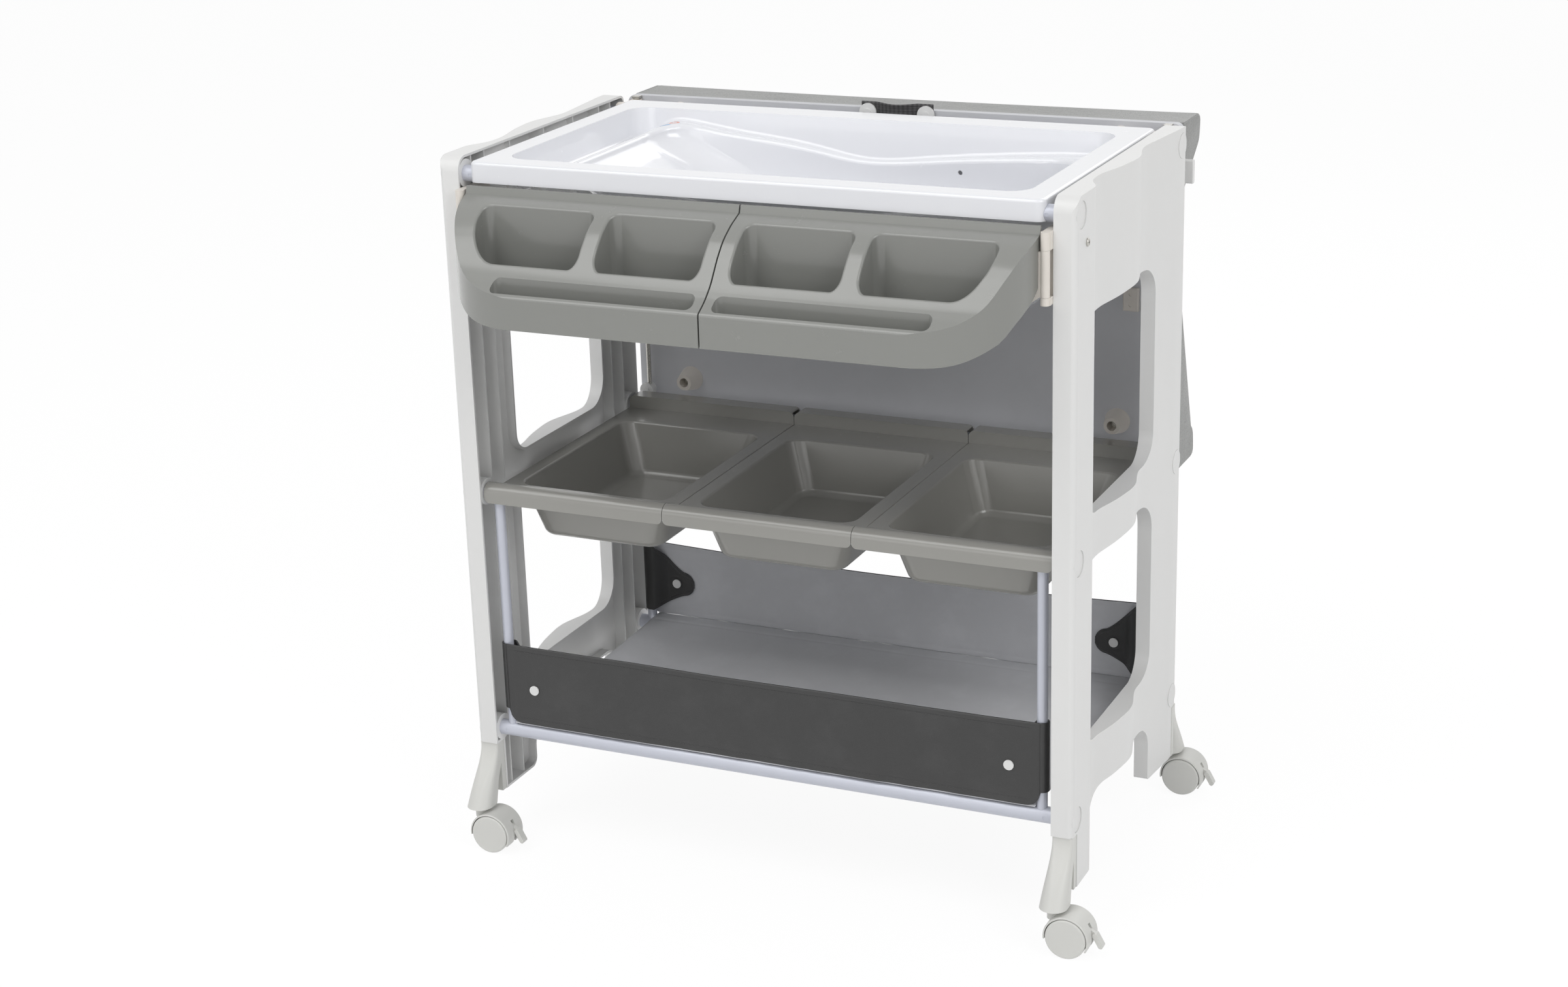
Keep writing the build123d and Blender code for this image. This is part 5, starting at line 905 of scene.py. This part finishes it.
class TABLE_OT_shelf_panels(bpy.types.Operator):
    """Make the shelf's front and rear cloth panels"""

    bl_idname = "table.shelf_panels"
    bl_label = "Shelf panels"

    def execute(self, context):
        dark, pale, thread, tree, sockets = shelf_finishes()
        for row in ("front", "rear"):
            name = "cloth_" + row
            middle, outward, inward, flat = panel_grid(row)
            mesh = closed_sheet(name, middle, outward, inward, flat)
            piece = new_piece(name, mesh, "frame", "shelf_cloth", dark, pale)
            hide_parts("shelf_" + row)
            face = outward_points(middle, outward, STITCH_LIFT)
            columns = range(HEM_SKIP, len(face) - HEM_SKIP)
            lines = [
                [inset_point(face, column, high, HEM_INSET) for column in columns]
                for high in (True, False)
            ]
            stitched(name + "_stitches", lines, "frame", "shelf_cloth", tree, sockets, thread)
        return {"FINISHED"}


class TABLE_OT_shelf_floor(bpy.types.Operator):
    """Make the shelf's sagging cloth floor"""

    bl_idname = "table.shelf_floor"
    bl_label = "Shelf floor"

    def execute(self, context):
        dark, pale, *_ = shelf_finishes()
        low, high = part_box("shelf_floor")
        xs = graded(low.x, high.x, 110, 0.02, 7)
        ys = graded(low.y, high.y, 70, 0.03, 14)
        middle, thick, _, flat = blank_grids(len(xs), len(ys), FLOOR_HALF_CLOTH)
        for i, x in enumerate(xs):
            for j, y in enumerate(ys):
                share = min(1.0, abs(y) / FLOOR_FLAT_Y)
                free = 1 - share**6
                sag = FLOOR_SAG * (1 - share**2)
                wave = FLOOR_WAVE * waviness(x * 7, y * 8, 21) * free
                pucker = ridge(y, FLOOR_PUCKER) * waviness(x * 55, y * 12, 31) * min(1.0, 0.1 + free)
                z = high.z - FLOOR_DROP - sag + wave + pucker - ridge(y, FLOOR_SEAM)
                middle[i, j] = (x, y, z)
                flat[i, j] = (x, y)
                edge = min(high.x - abs(x), high.y - abs(y))
                thick[i, j] -= ridge(edge, FLOOR_HEM_GROOVE)
        mesh = closed_sheet("cloth_floor", middle, thick, thick, flat)
        piece = new_piece("cloth_floor", mesh, "frame", "shelf_cloth", pale, dark)
        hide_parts("shelf_floor")
        return {"FINISHED"}


def tab_bounds(x, row):
    """The lowest and highest point of a tab at a distance from the table's middle."""
    foot, start = TAB_FOOT[row], TAB_START[row]
    tip_z = SNAP[1]
    if x >= TAB_ROOT_X:
        ease = min(1.0, max(0.0, (ROD_X - x) / TAB_FOOT_EASE))
        return start + (foot - start) * ease, PANEL_HIGH
    if x <= TAB_TIP_X - TAB_TIP_START:
        half = math.sqrt(max(0.0, TAB_TIP_R**2 - (TAB_TIP_X - x) ** 2))
        return tip_z - half, tip_z + half
    share = (x - (TAB_TIP_X - TAB_TIP_START)) / (TAB_ROOT_X - TAB_TIP_X + TAB_TIP_START)
    low, high = tip_z - TAB_TIP_R, tip_z + TAB_TIP_R
    ease = share**1.25
    return low + (foot - low) * ease, high + (PANEL_HIGH - high) * ease


def tab_path():
    """The middle line of a tab from the panel's outer face round the upright to its tip."""
    line = []
    for step in range(17):
        turn = -math.pi / 2 + math.pi * step / 16
        line.append((ROD_X + WRAP_R * math.cos(turn), -ROD_Y + WRAP_R * math.sin(turn)))
    back_y = -ROD_Y + WRAP_R
    line += [(x, back_y) for x in TAB_BACK]
    for step in range(1, 13):
        share = step / 12
        ease = share * share * (3 - 2 * share)
        line.append((TAB_BACK[1] - TAB_LAP_RUN * share, back_y + (TAB_LAP_Y - back_y) * ease))
    line += [(x, TAB_LAP_Y) for x in np.linspace(*TAB_LAP_X, 20)]
    line += [(x, TAB_LAP_Y) for x in np.linspace(*TAB_END_X, 9)]
    return line


def tab_grid(line, row):
    """The grids of one tab, and its length."""
    shares = graded(0.0, 1.0, 40, 0.08, 6)
    middle, outer, inner, flat = blank_grids(len(line), len(shares), TAB_HALF_CLOTH)
    run = 0.0
    for i, (x, y) in enumerate(line):
        if i:
            run += math.dist(line[i - 1], line[i])
        low, high = tab_bounds(x if i > TAB_WRAP_POINTS else ROD_X + WRAP_R, row)
        for j, part in enumerate(shares):
            z = low + (high - low) * part
            middle[i, j] = (x, y, z)
            flat[i, j] = (run, z)
            if i <= TAB_WRAP_POINTS:
                continue
            far = math.hypot(x - SNAP[0], z - SNAP[1])
            turn = math.atan2(z - SNAP[1], x - SNAP[0])
            rays = max(0.0, math.cos(turn * TAB_RAY_COUNT)) ** 6 * ridge(far, TAB_RAYS)
            edge = min(z - low, high - z, x - TAB_EDGE_X)
            outer[i, j] += ridge(far, TAB_RING) + rays - ridge(edge, TAB_GROOVE)
    return middle, outer, inner, flat, run


class TABLE_OT_shelf_tabs(bpy.types.Operator):
    """Make the four corner tabs with their embossed rings"""

    bl_idname = "table.shelf_tabs"
    bl_label = "Shelf tabs"

    def execute(self, context):
        dark, _, thread, tree, sockets = shelf_finishes()
        line = tab_path()
        steps = [math.dist(*pair) for pair in zip(line, line[1:])]
        stitch_rows = range(TAB_WRAP_POINTS + 1, len(line) - 4)
        meshes, lines, area = [], [], 0.0
        for row in ("front", "rear"):
            middle, outer, inner, flat, run = tab_grid(line, row)
            tall = middle[:, -1, 2] - middle[:, 0, 2]
            area += 2 * sum(step * (a + b) / 2 for step, a, b in zip(steps, tall, tall[1:]))
            for flip_x in (1, -1):
                turned = middle * np.array((flip_x, -1.0 if row == "rear" else 1.0, 1.0))
                straight = (flip_x == 1) != (row == "rear")
                over, under = (outer, inner) if straight else (inner, outer)
                meshes.append(closed_sheet("tab", turned, over, under, flat))
                face = outward_points(turned, over if straight else under, TAB_STITCH_LIFT)
                if not straight:
                    face = 2 * turned - face
                for high in (True, False):
                    lines.append([inset_point(face, i, high, TAB_STITCH_INSET) for i in stitch_rows])
        mesh = joined("cloth_tabs", meshes)
        piece = new_piece("cloth_tabs", mesh, "frame", "shelf_cloth", dark, dark)
        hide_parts("shelf_tabs")
        4 * run
        stitched("cloth_tab_stitches", lines, "frame", "shelf_cloth", tree, sockets, thread)
        return {"FINISHED"}


# The changing mat.

MAT_LOW = 0.435
MAT_HIGH = 0.888
MAT_MIDDLE = (MAT_LOW + MAT_HIGH) / 2
HALF_HEIGHT = MAT_MIDDLE - MAT_LOW
HALF_MAT = 0.382
PAD_Y = 0.259
PAD_GAP = 0.0003
BED_Y = 0.277
CREST_Y = 0.341
WEDGE_RISE = 0.087
WEDGE_LAND = 0.033
LAND_R = 0.016
BED_R = 0.024
CROWN_R = 0.5
COVER_INSET = 0.0005
COVER_CROWN = 0.0035
COVER_BACK_R = 0.003
COVER_CREST_R = 0.010
END_ROUND = 0.005
END_ROUND_RUN = 0.008
END_PULL = 0.0030
SIDE_SAG = 0.0016
DEPTH_AT_ENDS = 0.012
CALM_DEPTH = (0.006, 0.01)
CALM_FROM_END = 0.02
CREASE_FROM_END = 0.05
PIPING_BACK_Y = PAD_Y + 0.004
PIPING_CREST_Y = CREST_Y - 0.0012
PIPING_BED_Y = BED_Y - 0.0005
PIPING_CROWN_Y = BED_Y + 0.003
PIPING_INSET = 0.0015
PIPING_BACK_R = 0.002
PIPING_CREST_R = 0.015
PIPING_FROM_END = 0.0030
BED_SEAM = 0.093
SEAM_FROM_EDGE = 0.012
END_SEAM = 0.0125

STRAP_HALF = 0.00115
STRAP_DISC = 0.009 + 0.0115
STRAP_BACK = 0.00125
STRAP_BOW = 0.007
STRAP_DISH = 0.0014
STRAP_CURL = 0.0006
STRAP_EDGE = (0.0002, 0.0016, 0.0009)


def rounded_loop(corners, steps=6):
    """A closed line through corners, each with its radius."""
    line = []
    for index, (y, z, radius) in enumerate(corners):
        spot = Vector((y, z))
        before = (Vector(corners[index - 1][:2]) - spot).normalized()
        after = (Vector(corners[(index + 1) % len(corners)][:2]) - spot).normalized()
        half = before.angle(after) / 2
        reach = radius / math.tan(half)
        centre = spot + (before + after).normalized() * radius / math.sin(half)
        start = spot + before * reach - centre
        sweep = start.angle_signed(spot + after * reach - centre)
        for step in range(steps + 1):
            turned = start.copy()
            turned.rotate(Matrix.Rotation(-sweep * step / steps, 2))
            line.append(centre + turned)
    return line


def even_loop(line, count):
    """The same closed line with evenly spaced points."""
    points = np.array([tuple(point) for point in line])
    points = np.vstack((points, points[:1]))
    runs = np.linalg.norm(np.diff(points, axis=0), axis=1)
    far = np.concatenate(([0.0], np.cumsum(runs)))
    stops = np.linspace(0, far[-1], count, endpoint=False)
    return np.column_stack([np.interp(stops, far, points[:, axis]) for axis in range(2)])


def mat_outline(back, crest, bed_y, crown_y, inset):
    """The padded form seen from its end: a wedge along each long side and a crowned bed."""
    (back_y, back_r), (crest_y, crest_r) = back, crest
    steps = (
        (back_y, inset, back_r),
        (crest_y, inset, crest_r),
        (crest_y, WEDGE_LAND, LAND_R),
        (bed_y, WEDGE_RISE, BED_R),
    )
    lower = [(y, MAT_LOW + offset, radius) for y, offset, radius in steps]
    upper = [(y, MAT_HIGH - offset, radius) for y, offset, radius in reversed(steps)]
    return rounded_loop([*lower, (crown_y, MAT_MIDDLE, CROWN_R), *upper])


def cover_place(x, y, z, inset, reach, quilt):
    """A point of the cover, drawn in at its ends and creased."""
    deep = y - PAD_Y
    tall = (z - MAT_MIDDLE) / HALF_HEIGHT
    new_y = PAD_Y + max(PAD_GAP, deep - inset * min(1.0, deep / DEPTH_AT_ENDS))
    new_z = MAT_MIDDLE + (z - MAT_MIDDLE) * (1 - inset * 0.6 / HALF_HEIGHT)
    pull = END_PULL * (1 - tall**4) * (x / reach) ** 8
    on_wedge = 1 if abs(tall) > 0.6 else 0
    sag = SIDE_SAG * (1 - (x / reach) ** 2) * on_wedge * min(1.0, deep / 0.02)
    from_end = reach - abs(x)
    calm = min(1.0, max(0.0, (deep - CALM_DEPTH[0]) / CALM_DEPTH[1]))
    calm *= min(1.0, from_end / CALM_FROM_END)
    creases = ridge(from_end, (1.0, 0.0, CREASE_FROM_END)) * waviness(x * 20, z * 60, 47)
    dimple = waviness(x * 6, z * 9, 41) + creases
    new_y -= quilt * calm * (0.5 + 0.5 * dimple)
    new_z -= math.copysign(sag * abs(tall) ** 6, z - MAT_MIDDLE)
    return x - math.copysign(pull, x), new_y, new_z


def cushion_mesh():
    """The mat's padded form with rounded ends, closed at its back."""
    inset = COVER_INSET
    outline = mat_outline(
        (PAD_Y + PAD_GAP, COVER_BACK_R),
        (CREST_Y - inset, COVER_CREST_R),
        BED_Y - inset,
        BED_Y + COVER_CROWN - inset,
        inset,
    )
    ring = even_loop(outline, 240)
    reach = HALF_MAT - inset
    ends = []
    for turn in np.linspace(0, math.pi / 2, 8):
        along, inwards = 1 - math.cos(turn), 1 - math.sin(turn)
        ends.append((-reach + END_ROUND * along, END_ROUND * inwards))
    straight = np.linspace(-reach + END_ROUND_RUN, reach - END_ROUND_RUN, 118)
    profile = ends + [(x, 0.0) for x in straight] + [(-x, drop) for x, drop in reversed(ends)]
    quilt = bpy.context.scene.table_sizes.quilt_depth
    mesh = bmesh.new()
    loops = []
    for x, drop in profile:
        loops.append([mesh.verts.new(cover_place(x, y, z, drop, reach, quilt)) for y, z in ring])
    count = len(ring)
    for first, second in zip(loops, loops[1:]):
        for step in range(count):
            after = (step + 1) % count
            mesh.faces.new((first[step], first[after], second[after], second[step]))
    mesh.faces.new(list(reversed(loops[0])))
    mesh.faces.new(loops[-1])
    caps = [face for face in mesh.faces if len(face.verts) > 4]
    bmesh.ops.triangulate(mesh, faces=caps)
    bmesh.ops.recalc_face_normals(mesh, faces=mesh.faces)
    return plain_mesh("mat_cover", mesh)


def end_seam(x):
    """The line of the seam round one end of the mat."""
    outline = mat_outline(
        (PIPING_BACK_Y, PIPING_BACK_R),
        (PIPING_CREST_Y, PIPING_CREST_R),
        PIPING_BED_Y,
        PIPING_CROWN_Y,
        PIPING_INSET,
    )
    line = []
    for y, z in outline:
        tall = (z - MAT_MIDDLE) / HALF_HEIGHT
        pull = END_PULL * (1 - tall**4)
        line.append((x - math.copysign(pull + PIPING_FROM_END, x), y, z))
    return line


def cover_seams(cover):
    """The stitch lines along the bed and across both ends of the mat's cover."""
    spans = (HALF_MAT - SEAM_FROM_EDGE, MAT_LOW + SEAM_FROM_EDGE, MAT_HIGH - SEAM_FROM_EDGE)
    along = [
        [(x, z) for x in np.linspace(-spans[0], spans[0], 240)]
        for z in (MAT_LOW + BED_SEAM, MAT_HIGH - BED_SEAM)
    ]
    across = [
        [(side * (HALF_MAT - END_SEAM), z) for z in np.linspace(*spans[1:], 180)]
        for side in (-1, 1)
    ]
    return [
        [on_surface(cover, (x, 1.0, z), (0, -1, 0), STITCH_LIFT) for x, z in line]
        for line in along + across
    ]


class TABLE_OT_mat_cover(bpy.types.Operator):
    """Make the changing mat's padded vinyl cover, its piping and its seams"""

    bl_idname = "table.mat_cover"
    bl_label = "Mat cover"

    def execute(self, context):
        colours = context.scene.table_colours
        radius = context.scene.table_sizes.piping_radius
        vinyl = grained_vinyl("mat_vinyl", colours.vinyl)
        piece = new_piece("mat_cover", cushion_mesh(), "changing_mat", "mat_vinyl", vinyl)
        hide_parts("mat_cushion")
        cords = [round_cord("end_piping", end_seam(x), radius) for x in (-HALF_MAT, HALF_MAT)]
        new_piece("mat_piping", joined("mat_piping", cords), "changing_mat", "mat_vinyl", vinyl)
        thread = spun_thread("mat_thread", shade(colours.vinyl, 0.62))
        tree, sockets = stitch_tree(thread)
        lines = cover_seams(piece)
        stitched("mat_stitches", lines, "changing_mat", "mat_vinyl", tree, sockets, thread)
        coat_nodes(laminate("mat_board", colours.board), "mat_board")
        return {"FINISHED"}


class TABLE_OT_strap(bpy.types.Operator):
    """Make the webbing strap at the mat's edge"""

    bl_idname = "table.strap"
    bl_label = "Strap"

    def execute(self, context):
        low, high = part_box("strap_handle")
        webbing = ribbed_webbing("strap_webbing", context.scene.table_colours.webbing)
        ends = (low.x + STRAP_DISC, high.x - STRAP_DISC)
        width = high.z - low.z
        xs = np.linspace(low.x, high.x, 90)
        shares = graded(0.0, 1.0, 12, 0.12, 5)
        middle, thick, _, flat = blank_grids(len(xs), len(shares), STRAP_HALF)
        for i, x in enumerate(xs):
            share = (x - ends[0]) / (ends[1] - ends[0])
            lift = math.sin(math.pi * share) ** 1.2 if 0 < share < 1 else 0.0
            dish = STRAP_DISH * lift
            for j, part in enumerate(shares):
                z = low.z + dish * 0.4 + (width - 1.4 * dish) * part
                curl = STRAP_CURL * (2 * part - 1) ** 2 * lift
                middle[i, j] = (x, high.y - STRAP_BACK - STRAP_BOW * lift - curl, z)
                flat[i, j] = (x, z)
                thick[i, j] += ridge(min(part, 1 - part) * width, STRAP_EDGE)
        mesh = closed_sheet("strap", middle, thick, thick, flat)
        piece = new_piece("strap_webbing", mesh, "changing_mat", "strap_dark", webbing, webbing)
        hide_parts("strap_handle")
        return {"FINISHED"}


# The stage.

CAMERA_PLACE = (1.27333, -2.88683, 1.51721)
CAMERA_AXES = ((0.9118, 0.4095, -0.0282), (-0.1072, 0.3040, 0.9466), (0.3963, -0.8601, 0.3211))
SENSOR_WIDTH = 36.0
TABLE_MIDDLE = (0.0, 0.0, 0.45)
FLOOR_RADIUS = 9.0
FLOOR_Z = -0.0005
FLOOR_GREY = 0.93
FLOOR_GLOW = 1.03
FLOOR_GLOW_SHARE = 0.90
WHITE = (1.0, 1.0, 1.0, 1.0)
BACKGROUND_RAYS = ("Is Camera Ray", "Is Glossy Ray", "Is Transmission Ray")


def lamp(name, place, aim, power, width, height):
    """A soft rectangular lamp."""
    light = bpy.data.lights.new(name, "AREA")
    light.shape = "RECTANGLE"
    light.size = width
    light.size_y = height
    light.energy = power
    holder = bpy.data.objects.new(name, light)
    bpy.context.scene.collection.objects.link(holder)
    holder.location = place
    holder.rotation_euler = (Vector(aim) - Vector(place)).to_track_quat("-Z", "Y").to_euler()


def sky(scene, strength):
    """Even light all round, which the camera and reflections see as white."""
    world = scene.world or bpy.data.worlds.new("sky")
    scene.world = world
    world.use_nodes = True
    tree = world.node_tree
    tree.nodes.clear()
    ray = tree.nodes.new("ShaderNodeLightPath")
    shown = ray.outputs[BACKGROUND_RAYS[0]]
    for kind in BACKGROUND_RAYS[1:]:
        either = tree.nodes.new("ShaderNodeMath")
        either.operation = "MAXIMUM"
        tree.links.new(shown, either.inputs[0])
        tree.links.new(ray.outputs[kind], either.inputs[1])
        shown = either.outputs[0]
    reach = tree.nodes.new("ShaderNodeMapRange")
    reach.inputs["To Min"].default_value = strength
    reach.inputs["To Max"].default_value = 1.0
    tree.links.new(shown, reach.inputs["Value"])
    light = tree.nodes.new("ShaderNodeBackground")
    light.inputs["Color"].default_value = WHITE
    tree.links.new(reach.outputs[0], light.inputs["Strength"])
    end = tree.nodes.new("ShaderNodeOutputWorld")
    tree.links.new(light.outputs[0], end.inputs["Surface"])


def floor_paper():
    """White paper that shows the table's shadow faintly."""
    finish = Finish("floor_paper")
    finish.set(base_color=(FLOOR_GREY, FLOOR_GREY, FLOOR_GREY, 1.0), roughness=0.9)
    glow = finish.node("ShaderNodeEmission", inputs={"Color": WHITE, "Strength": FLOOR_GLOW})
    ray = finish.node("ShaderNodeLightPath")
    seen = Wire(finish, ray.outputs[BACKGROUND_RAYS[0]])
    for kind in BACKGROUND_RAYS[1:]:
        seen = seen.maths("MAXIMUM", seen, Wire(finish, ray.outputs[kind]))
    sockets = {
        0: seen * FLOOR_GLOW_SHARE,
        1: Wire(finish, finish.shader.outputs[0]),
        2: Wire(finish, glow.outputs[0]),
    }
    mixed = finish.node("ShaderNodeMixShader", inputs=sockets)
    output = next(node for node in finish.tree.nodes if node.type == "OUTPUT_MATERIAL")
    finish.tree.links.new(mixed.outputs[0], output.inputs["Surface"])
    return finish.material


class TABLE_OT_stage(bpy.types.Operator):
    """Set up the floor, the lamps and the camera"""

    bl_idname = "table.stage"
    bl_label = "Stage"

    def execute(self, context):
        scene = context.scene
        studio = scene.table_studio
        camera = bpy.data.objects.new("camera", bpy.data.cameras.new("camera"))
        scene.collection.objects.link(camera)
        camera.data.lens = studio.lens
        camera.data.sensor_width = SENSOR_WIDTH
        camera.data.sensor_fit = "HORIZONTAL"
        facing = Matrix(CAMERA_AXES).transposed().to_4x4()
        camera.matrix_world = Matrix.Translation(CAMERA_PLACE) @ facing
        scene.camera = camera
        scene.view_settings.view_transform = "Standard"
        fill = studio.fill
        lamp("key", (-1.2, -2.0, 3.6), TABLE_MIDDLE, studio.key, 2.4, 2.4)
        lamp("fill", (3.0, -1.7, 3.0), (0.3, 0.0, 0.8), fill, 2.0, 1.8)
        lamp("low", (-0.6, -3.4, 1.5), (0.0, 0.2, 0.4), fill * 0.2, 2.4, 1.2)
        lamp("back", (0.6, 3.2, 2.8), TABLE_MIDDLE, fill * 0.45, 2.4, 1.6)
        sky(scene, studio.sky)
        mesh = bmesh.new()
        bmesh.ops.create_circle(mesh, cap_ends=True, segments=96, radius=FLOOR_RADIUS)
        floor = bpy.data.objects.new("floor", plain_mesh("floor", mesh))
        scene.collection.objects.link(floor)
        floor.location.z = FLOOR_Z
        floor.data.materials.append(floor_paper())
        return {"FINISHED"}


class TABLE_PT_sidebar(bpy.types.Panel):
    """The table's pieces and settings"""

    bl_idname = "TABLE_PT_sidebar"
    bl_label = "Changing table"
    bl_space_type = "VIEW_3D"
    bl_region_type = "UI"
    bl_category = "Changing table"

    def draw(self, context):
        layout = self.layout
        scene = context.scene
        for group in (scene.table_colours, scene.table_sizes, scene.table_studio):
            box = layout.box()
            for name in group.__annotations__:
                box.prop(group, name)
        for operator in OPERATORS:
            layout.operator(operator.bl_idname)


OPERATORS = (
    TABLE_OT_stage,
    TABLE_OT_plastics,
    TABLE_OT_metals,
    TABLE_OT_bathtub,
    TABLE_OT_shelf_panels,
    TABLE_OT_shelf_floor,
    TABLE_OT_shelf_tabs,
    TABLE_OT_mat_cover,
    TABLE_OT_strap,
)
CLASSES = (TableColours, TableSizes, StudioSettings, *OPERATORS, TABLE_PT_sidebar)


def register():
    """Add the classes and their settings."""
    for made in CLASSES:
        bpy.utils.register_class(made)
    bpy.types.Scene.table_colours = bpy.props.PointerProperty(type=TableColours)
    bpy.types.Scene.table_sizes = bpy.props.PointerProperty(type=TableSizes)
    bpy.types.Scene.table_studio = bpy.props.PointerProperty(type=StudioSettings)


def unregister():
    """Take the classes and their settings away again."""
    del bpy.types.Scene.table_studio
    del bpy.types.Scene.table_sizes
    del bpy.types.Scene.table_colours
    for made in reversed(CLASSES):
        bpy.utils.unregister_class(made)


def main():
    """Make every piece in order."""
    register()
    for operator in OPERATORS:
        group, name = operator.bl_idname.split(".")
        getattr(getattr(bpy.ops, group), name)()


if __name__ == "__main__":
    main()
